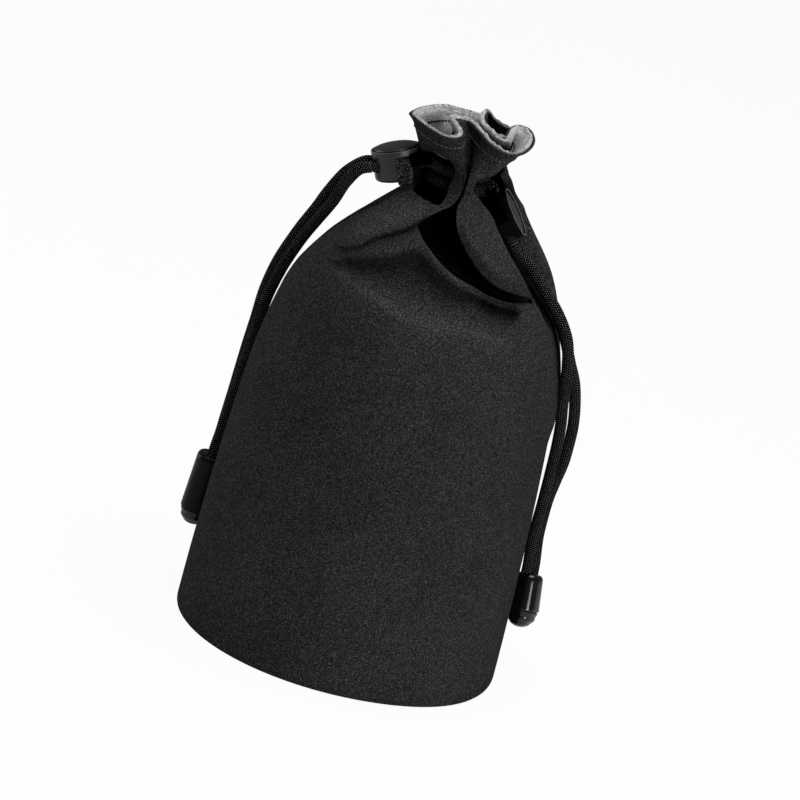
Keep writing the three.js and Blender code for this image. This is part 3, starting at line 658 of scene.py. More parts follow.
def make_cords(lock):
    lines, hang = free_cord_lines(lock)
    end_pieces = [make_sleeve(lock, hang), make_cap(lock, hang), make_knot(lock, hang)]
    bodies = f"{lock.side}_lock", f"{lock.side}_cords"
    for strand, line in zip(("front", "rear"), lines):
        piece = tube(f"{lock.side}_drawcord_{strand}", line)
        dress(piece, "braid", f"{lock.side}_cord_{strand}")
        lock.bend(piece, bodies, CORD_EXIT - 1, CORD_EXIT + 9, BORE_HEIGHT)


LOOP_RADIUS = 8.3
LOOP_HEIGHT = {"left": 163.4, "right": 159}
LOOP_OPENING = 112


def make_inner_cords(lock):
    """The runs inside the lock, and the loop round the neck."""
    runs = []
    for sign in (-1, 1):
        ends = [lock.place(x, sign * BORE_OFFSET, BORE_HEIGHT) for x in (-LOCK_RADIUS, LOCK_RADIUS)]
        runs.append(tube(f"{lock.side}_run_{sign}", evenly(np.array(ends), 80)))
    with bpy.context.temp_override(active_object=runs[0], selected_editable_objects=runs):
        bpy.ops.object.join()
    inside = runs[0]
    inside.name = f"{lock.side}_lock_runs"
    dress(inside, "braid", f"{lock.side}_lock_cord_front", f"{lock.side}_lock_cord_rear")
    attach(inside, f"{lock.side}_lock")

    back = -CORD_EXIT
    leads = {
        sign: [lock.place(x, sign * BORE_OFFSET, BORE_HEIGHT) for x in (back, back - 1.4)]
        for sign in (-1, 1)
    }
    open_half = math.radians(LOOP_OPENING / 2)
    side_turn = 0 if lock.side == "right" else math.pi
    loop = [
        (LOOP_RADIUS * math.cos(turn), LOOP_RADIUS * math.sin(turn), LOOP_HEIGHT[lock.side])
        for turn in np.linspace(open_half, 2 * math.pi - open_half, 13) + side_turn
    ]
    line = catmull_rom([*leads[1], *loop, *leads[-1][::-1]], 320)
    piece = tube(f"{lock.side}_neck_loop", line)
    dress(piece, "braid", f"{lock.side}_neck_cord")
    lock.bend(piece, ("pouch", f"{lock.side}_lock"), back - 4, back + 0.5, BORE_HEIGHT)


for lock in LOCKS:
    make_cords(lock)
    make_inner_cords(lock)


# Bag: the fabric is a loft of rings. U runs round it from the back by the left, front and right.

PROFILE = monotone([
    (0, 53.3), (16, 53.1), (83, 50.1), (112, 45.6), (131, 37.2), (152.5, 19.2), (158.5, 13), (165, 13),
    (178, 20),
])
COLUMNS = 640
U = np.arange(COLUMNS) / COLUMNS
# Fabric threads that become the front tuck: its left ridge, its bottom's two ends and the right flap's edge
TUCK_LEFT, TUCK_NEAR, TUCK_FAR, TUCK_RIGHT = 0.52, 0.55, 0.62, 0.66
TUCK_DROP = 0.4
# Height and sideways place of the tuck's ridge and flap edge, as the photograph shows them
RIDGE_X = monotone([
    (131, 30.5), (132.1, 26), (133.5, 20), (135.9, 13.5), (138.1, 7.1), (141.4, 0.6), (145.5, -5.8),
    (147.6, -8.6), (149.2, -7.6), (150.6, -5.8), (152.9, -2.4), (155, 0.6), (158, 2.1), (163, 2.4),
])
FLAP = [
    (131, 33.2), (132.6, 32.2), (133.3, 30), (134.4, 26.3), (136.3, 19.9), (139.8, 13.5), (145.3, 7.1),
    (148.4, 4.4), (152.2, 2.6), (155, 2.2), (158, 3.0), (163, 3.2),
]
FLAP_X = monotone(FLAP)
# The same edge read the other way, up to where it stands upright
FLAP_EDGE = monotone([(x, height) for height, x in FLAP[8:1:-1]])
TUCK_DEPTH = monotone([
    (130, 0), (131, 1), (133, 5), (136, 11), (141, 17), (148, 15), (152, 10), (156, 7), (163, 6),
])
# The gathered fabric stands out at the back right and on the right, and is drawn in on the left
BULGE_RIGHT = monotone([
    (90, 0), (104, 0.8), (112, 2), (118, 3.6), (124, 5.4), (130, 6), (144, 6.5), (151, 7.4), (154, 8.4),
    (157, 9), (160, 7.6), (163, 5.2), (165, 1.8), (167, 0.4), (169, 0),
])
SIDE_RIGHT = monotone([(84, 0), (92, 1.2), (104, 1.4), (112, 0.8), (120, 0)])
DRAWN_LEFT = monotone([(120, 0), (130, 1), (142, 2.2), (152, 2.2), (158, 0)])
NECK_TOP = 163.0
# Half the right valley's width towards the front: there the right flap folds in below its lock and cords
RIGHT_FOLD = monotone([
    (106, 0), (112, 4), (120, 8.5), (131, 13.5), (142, 14), (150, 12), (155, 9.6), (160, 8),
])
LEFT_FOLD = 6.0


def draw_in_sides(x, y, height):
    """The sides below the locks: a deep valley on the right, a shallow one on the left."""
    right_depth = 12.5 * smooth(120, 142, height) - 10.5 * smooth(151, 159, height)
    left_depth = 3.5 * (smooth(140, 150, height) - smooth(153, 157, height))
    back_edge = np.minimum(8.6, 0.5 * PROFILE(height))
    front_fold = RIGHT_FOLD(height)
    in_right = 1 - smooth(front_fold - 1.2, front_fold + 0.8, -y)
    in_right = in_right * (1 - smooth(back_edge - 1, back_edge + 2.6, y))
    in_left = 1 - smooth(LEFT_FOLD - 2, LEFT_FOLD + 2, np.abs(y))
    depth = np.where(x > 0, right_depth * in_right, left_depth * in_left)
    return x - np.sign(x) * np.minimum(depth, np.abs(x))


def base_point(turn, height):
    """Point on the bag without its front tuck; turn is in degrees from the front, to the right."""
    radius = PROFILE(height)
    radius = radius + BULGE_RIGHT(height) * hump(turn, 122, 18)
    radius = radius + SIDE_RIGHT(height) * hump(turn, 88, 24)
    radius = radius + 1.2 * hump(turn, 48, 26) * (1 - smooth(0, 24, height))
    radius = radius - DRAWN_LEFT(height) * hump(turn, -108, 34)
    angle = np.radians(turn)
    x, y = radius * np.sin(angle), -radius * np.cos(angle)
    x = draw_in_sides(x, y, height)
    drawn_in = 6 * window(118, 140, 155, 162, height) * (1 - smooth(2.0, 13.0, np.abs(x)))
    return x, np.where(y > 0, y - drawn_in, y)


# Front panel: brim of the body below it, rolled edge at its top, and crease of the left flap above that edge
BRIM = monotone([
    (-33, 128), (-31.5, 127.6), (-25.1, 126.7), (-18.6, 125.5), (-12.2, 124.4), (-5.8, 122.6), (0.6, 122.1),
    (7.1, 122.3), (13.5, 122.6), (19.9, 122), (26.3, 120.6), (32, 120),
])
ROLL = monotone([
    (-33, 128.8), (-31.5, 129.4), (-25.1, 133.6), (-18.6, 137.7), (-12.2, 141.4), (-6.5, 144.9), (0.6, 141.4),
    (7.1, 138.1), (13.5, 135.9), (20, 133.5), (26, 132.1), (31, 131.2),
])
CREASE = monotone([
    (-33, 131), (-31.5, 131.7), (-25.1, 134.8), (-18.6, 140.1), (-12.2, 144), (-8.5, 146.8),
])
CREASE_DEPTH = monotone([(-33, 0.4), (-31, 0.9), (-25, 1.6), (-12, 2.4), (-6, 2.6)])
# From the brim, at 0, to the rolled edge, at 1: depth of the panel, and its painted light and shade, lighter
# on the brim and darker in the hollow
PANEL_SECTION = monotone([
    (0, 0), (0.25, 0.75), (0.45, 0.95), (0.6, 0.85), (0.76, 0.2), (0.87, -0.5), (0.95, -0.7), (1, -0.7),
])
PANEL_PAINTED_SHADING = monotone([
    (-0.45, 0), (-0.12, 0.12), (0, 0.3), (0.12, 0.12), (0.3, -0.12), (0.5, -0.35), (0.62, -0.5), (0.78, -0.5),
    (0.87, -0.06), (1.04, 0.05),
])
PANEL_DEPTH = 4.0


def panel_place(x, height):
    """Place between the panel's brim and its rolled edge, and how far the panel has room there."""
    brim = BRIM(x)
    room = np.maximum(ROLL(x) - brim, 0.1)
    right_fold = 27.5 + 0.4 * (height - 121.5)
    ends = window(-34, -30, right_fold - 1.0, right_fold + 0.8, x)
    return (height - brim) / room, room, ends


def front_painted_shading(x, height):
    """Painted light and shade on the front: painted light on the brim and the left flap, painted shade in the
    panel's hollow, in the left flap's crease, under the right end of the rolled edge and on the right flap,
    most where it turns in.
    """
    up, room, ends = panel_place(x, height)
    hollow = PANEL_PAINTED_SHADING(up) * ends * smooth(1, 9, room)
    below = CREASE(x) - height
    crease = -0.5 * hump(below, 0, 1.6) * window(-33, -28, -9, -6, x)
    flap = 0.36 * window(-14, -4, -4, -1.5, below) * window(-30, -24, -9, -6, x)
    right_end = -0.6 * window(10, 19, 28, 31, x) * hump(ROLL(x) - height, 1, 3.5)
    over_edge = height - FLAP_EDGE(x)
    on_flap = window(3.5, 5.5, 31, 33, x) * (over_edge > -0.6)
    turned_in = -0.48 * (1 - smooth(2.4, 4.2, over_edge)) * (1 - 0.6 * smooth(15, 23, x))
    flap_right = on_flap * (turned_in - 0.13 * (1 - smooth(152, 158, height)))
    return hollow + crease + flap + right_end + flap_right


def ruffle_painted_shading(x, height):
    """Painted shade in the gathers of the neck, painted light on the right flap's ruffle."""
    gathers = -0.28 * smooth(152, 156, height) - 0.35 * hump(height, 164, 5)
    right = 0.25 * window(3, 7, 17, 21, x) * smooth(160, 165, height)
    return gathers * (1 - smooth(2, 6, x)) + right


def front_relief(x, height):
    """How far the front fabric is drawn in: a hollow panel under a rolled edge, and the flap's crease."""
    roll, crease = ROLL(x), CREASE(x)
    up, room, ends = panel_place(x, height)
    depth = np.minimum(PANEL_DEPTH, 0.33 * room) * ends * (1 - 0.75 * smooth(2, 20, x))
    panel = depth * PANEL_SECTION(up)
    rolled = -0.7 * depth
    left = 1 - smooth(-9, -5, x)
    fades = 1 - smooth(0, 4, height - roll)
    valley = CREASE_DEPTH(x) * smooth(-34, -31, x)
    over = (height - roll) / np.maximum(crease - roll, 0.3)
    creased = rolled + (valley - rolled) * smooth(0.1, 1, over)
    creased = np.where(height > crease, valley * (1 - smooth(0, 1.3, height - crease)), creased)
    beyond = left * creased + (1 - left) * rolled * fades
    return np.where(height < roll, panel, beyond)


def x_to_turn(x, height):
    return np.degrees(np.arcsin(np.clip(x / PROFILE(height), -0.98, 0.98)))


def ring_at(height):
    """Plan of the fabric's outer face at a height up to the neck, one point for each column."""
    natural_left, natural_right = 360 * TUCK_LEFT - 180, 360 * TUCK_RIGHT - 180
    formed = smooth(112, 131, height)
    left = natural_left + (x_to_turn(RIDGE_X(height), height) - natural_left) * formed
    right = natural_right + (x_to_turn(FLAP_X(height), height) - natural_right) * formed
    turn = np.interp(U, [0, TUCK_LEFT, TUCK_RIGHT, 1], [-180, left, right, 180])
    x, y = base_point(turn, height)
    front = y < 0
    y = y + np.where(front, front_relief(x, height), 0)
    z = np.full(COLUMNS, float(height))
    depth = float(TUCK_DEPTH(height))
    if depth > 0:
        edges = [np.argmin(np.abs(U - thread)) for thread in (TUCK_LEFT, TUCK_RIGHT)]
        ridge, flap = (np.array([x[i], y[i]]) for i in edges)
        near = ridge + np.array([1.2, 0.85 * depth])
        far = flap + np.array([min(2.5, 0.2 * depth), depth])
        threads = [TUCK_LEFT, TUCK_NEAR, TUCK_FAR, TUCK_RIGHT]
        wall_x = np.interp(U, threads, [ridge[0], near[0], far[0], flap[0]])
        wall_y = np.interp(U, threads, [ridge[1], near[1], far[1], flap[1]])
        drop = TUCK_DROP * depth * (1 - smooth(148, 155, height))
        in_tuck = (U > TUCK_LEFT) & (U < TUCK_RIGHT)
        tucked = smooth(0.0, 3.0, depth)
        x = soften(np.where(in_tuck, x + (wall_x - x) * tucked, x))
        y = soften(np.where(in_tuck, y + (wall_y - y) * tucked, y))
        z = z - soften(np.interp(U, threads, [0, drop, drop, 0]))
    return np.stack([x, y, z], axis=1)


def soften(values, reach=9, spread=3.0):
    """Rounds the corners of a ring a little."""
    shifts = np.arange(-reach, reach + 1)
    weights = np.exp(-((shifts / spread) ** 2))
    weights /= weights.sum()
    return sum(weight * np.roll(values, shift) for shift, weight in zip(shifts, weights))


# Ruffled rim: thread, and the rim's plan point and rise there. At the back the cloth doubles back in a pleat.
RIM = [
    (0, -2.8, 18.9, -0.9), (0.03, -4.9, 18.4, -0.7), (0.09, -10.3, 15.6, -0.3), (0.16, -16.5, 5.4, -0.4),
    (0.215, -19.3, -2.4, -1.2), (0.26, -17.2, -7.2, -1.4), (0.33, -13.1, -12.6, -1.8),
    (0.42, -6.9, -17.6, -2.2), (0.48, -3, -15.2, -1.8), (0.52, -1.9, -10.7, -1), (0.56, -4.2, -2.8, -0.5),
    (0.60, -5.8, 4.6, -0.5),
    (0.625, -1.4, 6.0, -0.6), (0.66, 3.4, -3.0, -1.2), (0.675, 6.5, -10.0, -1.8), (0.695, 10.9, -14.8, -2.3),
    (0.71, 14.0, -16.6, -2.5), (0.73, 17.4, -13.6, -1.8), (0.75, 19.7, -4.6, -0.8), (0.77, 19.7, 5.4, -0.3),
    (0.79, 17.6, 12.6, -0.1), (0.805, 14.3, 13.0, 0), (0.82, 12.3, 8.4, 0), (0.835, 11.9, 0, 0),
    (0.85, 11.2, -5.6, -0.3), (0.86, 9.8, -6.0, -0.3), (0.872, 7.2, -1.6, 0), (0.886, 4.6, 3.4, 0.1),
    (0.90, 3.4, 9.0, 0.4), (0.913, 3.3, 15.0, 1.2), (0.922, 4.2, 17.0, 1.6), (0.937, 7.3, 12.2, 0.4),
    (0.953, 12.1, 5.6, 0.2), (0.963, 12.3, 8.2, -0.6), (0.978, 6.4, 17.6, -1.2), (0.99, 0.6, 19.4, -1.0),
]
RIM_HEIGHT = 178.0


def closed_curve(stations):
    """Smooth closed curve through stations of (thread, values), sampled at every column."""
    stations = np.array(stations, float)
    lap = [1, 0, 0, 0]
    extended = np.concatenate([stations[-3:] - lap, stations, stations[:3] + lap])
    threads, values = extended[:, 0], extended[:, 1:]
    k = np.clip(np.searchsorted(threads, U, "right") - 1, 1, len(threads) - 3)
    span = (threads[k + 1] - threads[k])[:, None]
    t = (U - threads[k])[:, None] / span
    tangent = (values[2:] - values[:-2]) / (threads[2:] - threads[:-2])[:, None]
    return hermite(t, values[k], values[k + 1], tangent[k - 1] * span, tangent[k] * span)


RIM_RING = closed_curve(RIM)
for axis in (0, 1):
    RIM_RING[:, axis] = soften(RIM_RING[:, axis])
NECK_RING = ring_at(NECK_TOP)


def inset_ring(ring, inset):
    """A ring moved inwards in plan, square to its own run."""
    along = np.roll(ring[:, :2], -2, axis=0) - np.roll(ring[:, :2], 2, axis=0)
    along /= np.linalg.norm(along, axis=1)[:, None] + 1e-9
    inner = ring.copy()
    inner[:, 0] -= inset * along[:, 1]
    inner[:, 1] += inset * along[:, 0]
    return inner


LIP_OUT = 0.8


def ruffle_ring(share):
    """Ring of the ruffle between the neck, at share 0, and the rim, at share 1."""
    rim = np.stack([RIM_RING[:, 0], RIM_RING[:, 1], RIM_HEIGHT + RIM_RING[:, 2]], axis=1)
    spread = share**1.15
    plan = NECK_RING + (rim - NECK_RING) * spread
    plan[:, 2] = NECK_TOP + (rim[:, 2] - NECK_TOP) * share
    lip = max(share - 0.82, 0) / 0.18
    return inset_ring(plan, -LIP_OUT * lip**2)


LOW_HEIGHTS = [0.25, 0.6, 1.2, 2.2, 3.5, *np.linspace(6, 112, 34)]
HIGH_HEIGHTS = [*np.linspace(112, 150, 78)[1:], *np.linspace(150, NECK_TOP, 53)[1:]]
RUFFLE_SHARES = [*np.linspace(0, 0.5, 32)[1:], *np.linspace(0.5, 1, 20)[1:]]
BOTTOM_EDGE = monotone([(0, 1.2), (0.25, 0.7), (0.6, 0.35), (1.2, 0.1), (2.2, 0)])


def bag_rings():
    rings = []
    for height in LOW_HEIGHTS:
        ring = ring_at(height)
        ring[:, :2] *= 1 - BOTTOM_EDGE(height) / PROFILE(height)
        rings.append(ring)
    rings += [ring_at(height) for height in HIGH_HEIGHTS]
    rings += [ruffle_ring(share) for share in RUFFLE_SHARES]
    return np.array(rings)


BAG = bag_rings()


class Slit:
    """Opening where a drawcord leaves its channel, in degrees from the front and heights."""

    def __init__(self, sign, front, low, high, back):
        self.sign = sign
        self.front = monotone(front)
        self.low = monotone(low)
        self.high = monotone(high)
        self.back = back

    def holds(self, turn, height):
        aside = self.sign * turn
        between_ends = (aside > self.front(height)) & (aside < self.back)
        return between_ends & (height > self.low(aside)) & (height < self.high(aside))


LEFT_SLIT = Slit(
    -1, [(153, 13), (156, 9), (160, 8), (165, 6), (168, 14), (169, 24)],
    [(8, 154), (27, 154.4), (45, 154.8), (60, 155.4), (100, 156)],
    [(4, 166.2), (15, 168.2), (28, 169), (48, 168.2), (80, 166), (112, 165.4)], 112,
)
RIGHT_SLIT = Slit(
    1, [(153, 58), (155, 49), (158, 40), (159.6, 30), (161, 27), (163, 29), (165, 36), (167, 54)],
    [(28, 159.4), (40, 158), (48, 155.6), (56, 153.8), (70, 153.4), (112, 153.4)],
    [(28, 164), (36, 165.4), (60, 166.8), (112, 166)], 112,
)
SLITS = [LEFT_SLIT, RIGHT_SLIT]


def even_cut_edges(piece, low, high, rounds=10):
    """Evens a sheet's cut edges between two heights."""
    mesh = bmesh.new()
    mesh.from_mesh(piece.data)
    neighbours = {}
    for edge in mesh.edges:
        if edge.is_boundary and all(low * MM < vertex.co.z < high * MM for vertex in edge.verts):
            for vertex in edge.verts:
                neighbours.setdefault(vertex, []).append(edge.other_vert(vertex))
    for _ in range(rounds):
        moved = {
            vertex: vertex.co * 0.5 + (near[0].co + near[1].co) * 0.25
            for vertex, near in neighbours.items() if len(near) == 2
        }
        for vertex, place in moved.items():
            vertex.co = place
    mesh.to_mesh(piece.data)
    mesh.free()


FABRIC_THICKNESS = 0.8
CHANNEL_THICKNESS = 0.3
CHANNEL_SIDES = 180
CHANNEL_GATHERS = 11


def make_outer_fabric():
    points = BAG.reshape(-1, 3)
    faces = grid_faces(len(BAG), COLUMNS)
    turn = np.degrees(np.arctan2(points[:, 0], -points[:, 1]))
    cut = np.any([slit.holds(turn, points[:, 2]) for slit in SLITS], axis=0)
    used, faces = np.unique(faces[~cut[faces].any(axis=1)], return_inverse=True)
    piece = new_piece("outer_fabric", points[used], faces.reshape(-1, 4), FABRIC)
    x, y, height = points[used].T
    # Painted light and shade on the front, then near-black painted shade deep in the tuck.
    painted_shading = np.where(y < 0, front_painted_shading(x, height) + ruffle_painted_shading(x, height), 0)
    thread = U[used % COLUMNS]
    in_tuck = window(TUCK_LEFT, TUCK_LEFT + 0.012, TUCK_RIGHT - 0.016, TUCK_RIGHT, thread)
    painted_shading = np.where(height < NECK_TOP, painted_shading + (-0.88 - painted_shading) * in_tuck * smooth(130, 134, height), painted_shading)
    # In the right valley: painted shade beside the fold and a painted highlight along the fold's edge.
    fold = RIGHT_FOLD(height)
    shaded = (1 - smooth(fold - 1.6, fold + 0.2, -y)) * (1 - smooth(7, 11, y))
    lit = window(fold, fold + 0.8, fold + 0.8, fold + 3, -y)
    in_valley = window(116, 128, 158, 164, height)
    painted_shading = np.where(x > 6, painted_shading + (0.28 * lit - 0.85 * shaded) * in_valley, painted_shading)
    set_painted_shading(piece, np.maximum(painted_shading, -0.9))
    even_cut_edges(piece, 150, 172)
    thicken(piece, FABRIC_THICKNESS)
    dress(piece, "outer_fabric", "outer_wall")
    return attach(piece, "pouch")


def make_channel():
    """Inner wall of the cord channel, between the cords and the lining, drawn near-black as painted shade."""
    profile = [(9.4, 147), (7.8, 150), (6.5, 153), (6.2, 157.5), (6.2, 162.5), (7.2, 165), (11.5, 167.4)]
    smooth_profile = catmull_rom([(radius, 0, height) for radius, height in profile], 60)
    gathers = 1 - 0.035 * np.cos(CHANNEL_GATHERS * once_round(CHANNEL_SIDES))
    rings = [ring_of(radius * gathers - 0.1, height, CHANNEL_SIDES) for radius, _, height in smooth_profile]
    points, faces = loft(rings, close_ends=False)
    piece = new_piece("cord_channel", points, faces, FABRIC)
    # Painted shade over the whole channel wall.
    set_painted_shading(piece, [-0.85] * len(points))
    thicken(piece, CHANNEL_THICKNESS)
    dress(piece, "outer_fabric")
    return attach(piece, "pouch")


THROAT_RADIUS = 5.4
THROAT_TOP = 164.0


def close_tube(name, rings, finish):
    """A closed shell from rings that run up its outside and down its inside."""
    points, faces = loft([*rings, rings[0]], close_ends=False)
    piece = new_piece(name, points, faces, finish)
    mesh = bmesh.new()
    mesh.from_mesh(piece.data)
    bmesh.ops.remove_doubles(mesh, verts=mesh.verts, dist=1e-7)
    mesh.to_mesh(piece.data)
    mesh.free()
    return piece


LINING_THICKNESS = 1.0
LINING_EDGE = 1.5
# How far inside the fabric's outer face the lining lies in the ruffle
LINING_INSET = 0.85
# The raw edge is a little uneven
FRAY_WAVES = [(83, 0.22, 0), (131, 0.2, 1), (47, 0.14, 0)]
FRAY = 1 + sum(size * np.sin(2 * math.pi * waves * U + start) for waves, size, start in FRAY_WAVES)
# The lining is thin in the pleat at the back
LINING_SHARE = 1 - 0.9 * window(0.915, 0.93, 0.975, 0.995, U)
# Threads of the right lobe's inner fold, where there is little room low in the ruffle
LOBE_FOLD = 0.85 * window(0.795, 0.81, 0.87, 0.885, U)
# Share of the ruffle's height in which each thread of the lining comes out to the fabric
OPENING = 0.45 - 0.31 * window(0.50, 0.53, 0.66, 0.70, U)


def make_lining_sleeve():
    """Light lining: a plain sleeve inside the wall, drawn in at the throat, opening to a thick rim."""
    turn = np.radians(np.interp(U, [0, TUCK_LEFT, TUCK_RIGHT, 1], [-180, 10, 14, 180]))
    circle = np.stack([np.sin(turn), -np.cos(turn), np.zeros(COLUMNS)], axis=1)
    reach = monotone([
        (4.4, 48.6), (16, 49.1), (83, 46.1), (108, 42), (118, 34), (128, 18), (138, 8), (146, THROAT_RADIUS),
        (THROAT_TOP, THROAT_RADIUS),
    ])
    outside, inside = [], []
    for height in [*np.linspace(4.4, 108, 20), *np.linspace(111, THROAT_TOP, 30)]:
        outside.append(circle * reach(height) + [0, 0, height])
        inside.append(circle * (reach(height) - LINING_THICKNESS) + [0, 0, height])
    throats = outside[-1], inside[-1]
    for share in np.linspace(0, 1, 34)[1:]:
        ruffle = ruffle_ring(share)
        thickness = LINING_THICKNESS + (LINING_EDGE - LINING_THICKNESS) * smooth(0.8, 1, share)
        for rings, throat, inset in zip((outside, inside), throats, (LINING_INSET, LINING_INSET + thickness)):
            opened = smooth(0, 1, share / OPENING)[:, None]
            close_folds = 1 - LOBE_FOLD * (1 - smooth(0.45, 0.8, share))
            ring = throat + (inset_ring(ruffle, inset * LINING_SHARE * close_folds) - throat) * opened
            ring[:, 0], ring[:, 1] = soften(ring[:, 0]), soften(ring[:, 1])
            ring[:, 2] = THROAT_TOP + (RIM_HEIGHT + RIM_RING[:, 2] - THROAT_TOP) * share
            rings.append(ring)
    middle = (outside[-1] + inside[-1]) / 2
    upward = UP * (LINING_EDGE / 2) * FRAY[:, None]
    edge = [
        middle + (outside[-1] - middle) * math.cos(angle) + upward * math.sin(angle)
        for angle in np.linspace(0, math.pi, 8)[1:-1]
    ]
    piece = close_tube("lining_sleeve", [*outside, *edge, *inside[::-1]], LINING)
    x, y, height = np.array([vertex.co for vertex in piece.data.vertices]).T / MM
    # Painted shade on the lining below the rim, except on the lit back wall, and lighter along the rim's
    # edge.
    below = RIM_HEIGHT - 1.6 - height
    on_back_wall = smooth(9, 13, y) * (1 - smooth(-1, 1, x)) * (1 - smooth(3.5, 7, below))
    painted_shading = -0.8 * smooth(-0.8, 2.8, below) * (1 - on_back_wall) + 0.3 * (1 - smooth(-1.4, 0.2, below))
    # Near-black painted shade on the sleeve's outside, which shows only through the slits.
    hidden = len(outside) * COLUMNS
    painted_shading[:hidden] = np.where(below < 1, painted_shading, -0.97)[:hidden]
    set_painted_shading(piece, painted_shading)
    dress(piece, "lining", "lining_wall")
    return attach(piece, "pouch")


def make_disc(name, node, radius, low, high, crown, finish, slot):
    """Round panel with a rounded edge and a slightly crowned top."""
    profile = [(0.01, low), (radius * 0.5, low), (radius - 1.2, low), (radius - 0.3, low + 0.2)]
    profile += [(radius, (low + high) / 2), (radius - 0.3, high - 0.2), (radius - 1.2, high)]
    profile += [(radius * 0.6, high + 0.7 * crown), (0.01, high + crown)]
    points, faces = loft(revolve(profile, 160))
    piece = new_piece(name, points, faces, finish, sharp=60)
    dress(piece, slot, node)
    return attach(piece, "pouch")


def make_wall_padding():
    rings = []
    for inset, heights in ((1.15, np.linspace(4.5, 112, 24)), (3.2, np.linspace(112, 4.5, 24))):
        rings += revolve([(PROFILE(height) - inset, height) for height in heights], 160)
    piece = close_tube("wall_foam", rings, FOAM)
    dress(piece, "foam", "wall_padding")
    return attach(piece, "pouch")


STITCH_DROP = 3.8
STITCH_PITCH = 1.5
STITCH_HALF_LENGTH = 0.55
STITCH_RADIUS = 0.3
STITCH_RINGS, STITCH_SIDES = 7, 6


def make_stitches(name, inset, side, finish):
    """Hem stitches round the ruffle on one face of the cloth, each a short pad of thread sunk in it."""
    points, faces = [], []
    ring = inset_ring(ruffle_ring(1 - STITCH_DROP / (RIM_HEIGHT - NECK_TOP)), inset * LINING_SHARE)
    closed = np.concatenate([ring, ring[:1]])
    length = run_lengths(closed)[-1]
    line = evenly(closed, int(length / STITCH_PITCH) * 2)
    for i in range(0, len(line) - 1, 2):
        along = unit(line[i + 1] - line[i])
        out = side * unit(np.cross(along, UP))
        first = len(points)
        for place in np.linspace(-1, 1, STITCH_RINGS):
            thick = STITCH_RADIUS * math.sqrt(max(1 - place**2, 0.02))
            for angle in once_round(STITCH_SIDES):
                aside = UP * math.cos(angle) + out * math.sin(angle)
                points.append(line[i] + along * place * STITCH_HALF_LENGTH + aside * thick)
        faces += grid_faces(STITCH_RINGS, STITCH_SIDES, first=first).tolist()
        end = list(range(STITCH_SIDES))
        last = first + (STITCH_RINGS - 1) * STITCH_SIDES
        faces += [[first + k for k in end[::-1]], [last + k for k in end]]
    piece = new_piece(name, points, faces, finish)
    dress(piece, "webbing")
    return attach(piece, "pouch")


outer = make_outer_fabric()
channel = make_channel()
make_lining_sleeve()
stitches = [
    make_stitches("hem_stitches", 0.0, 1, THREAD),
    make_stitches("hem_stitches_inside", 2.05, -1, THREAD_AND_SHADE_WEBBING),
]
make_wall_padding()
make_disc("base_panel", "outer_base", 51.6, 0.0, 1.1, 0, FABRIC, "outer_fabric")
make_disc("base_foam", "base_padding", 51, 1.4, 3.8, 0.05, FOAM, "foam")
make_disc("lining_floor", "lining_base", 47.4, 4.3, 4.9, 0.05, LINING, "lining")


# Spring locks: housing, button and sling

FLANGE_RADIUS = 8.1
WELL_RADIUS = 7.65
BUTTON_RADIUS = 7.1
BUTTON_WAIST = 6.6
LOCK_SIDES = 96
BORE_RADIUS = 2.2
SPRING_TURNS = 6
SPRING_RADIUS = 1.12
SPRING_FOOT = 1.1
SPRING_LOW, SPRING_LENGTH = 1.35, 6.95
WIRE_RADIUS = 0.25


def make_housing(lock):
    cup = [(0.05, 0), (LOCK_RADIUS, 0), (LOCK_RADIUS, 7.6), (FLANGE_RADIUS, 8.4), (FLANGE_RADIUS, 10)]
    well = [(WELL_RADIUS, 10), (WELL_RADIUS, 7.4), (6.2, 7.4), (6.2, 0.8), (0.05, 0.8)]
    profile = [*rounded([*cup, well[0]], 1.3, 6)[:-1], *rounded([cup[-1], *well], 0.3, 3)[1:]]
    points, faces = loft(revolve(profile, LOCK_SIDES))
    housing = new_piece(f"{lock.side}_lock_cup", points, faces, LOCK_PLASTIC)
    cutters = []
    for sign in (-1, 1):
        ring_points, ring_faces = loft(revolve([(BORE_RADIUS, -9), (BORE_RADIUS, 9)], 40))
        turned = ring_points[:, [2, 1, 0]] * [1, 1, -1] + [0, sign * BORE_OFFSET, BORE_HEIGHT]
        cutters.append(new_piece("bore", turned, ring_faces, LOCK_PLASTIC))
        low, high = sorted((sign * 6.9, sign * 9))
        corners = [(x, y, z) for x in (-9, 0.1) for y in (low, high) for z in (-1, 8.0)]
        sides = [(0, 1, 3, 2), (4, 6, 7, 5), (0, 4, 5, 1), (2, 3, 7, 6), (0, 2, 6, 4), (1, 5, 7, 3)]
        cutters.append(new_piece("flank", corners, sides, LOCK_PLASTIC))
    for cutter in cutters:
        cut = housing.modifiers.new("cut", "BOOLEAN")
        cut.operation = "DIFFERENCE"
        cut.solver = "EXACT"
        cut.object = cutter
    settle(housing)
    for cutter in cutters:
        bpy.data.objects.remove(cutter)
    housing.data.set_sharp_from_angle(angle=math.radians(38))
    local = np.array([vertex.co for vertex in housing.data.vertices]) / MM
    for finish in (RING_PAINTED_HIGHLIGHT, LOCK_PLASTIC_PAINTED_SHADE):
        housing.data.materials.append(finish)
    for face in housing.data.polygons:
        middle = local[list(face.vertices)].mean(axis=0)
        # Painted highlight on the ring's top.
        if middle[2] > 9.75 and np.hypot(middle[0], middle[1]) > WELL_RADIUS - 0.1:
            face.material_index = 1
        # Painted shade: the right cup, and the left cup's inner end, take the near-black copy.
        elif lock.side == "right" or (middle[0] < -4.6 and middle[2] < 9):
            face.material_index = 2
    housing.data.vertices.foreach_set("co", (placed(local, lock.middle, lock.axes) * MM).ravel())
    housing.data.update()
    dress(housing, "lock_plastic", f"{lock.side}_lock_housing")
    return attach(housing, f"{lock.side}_lock")


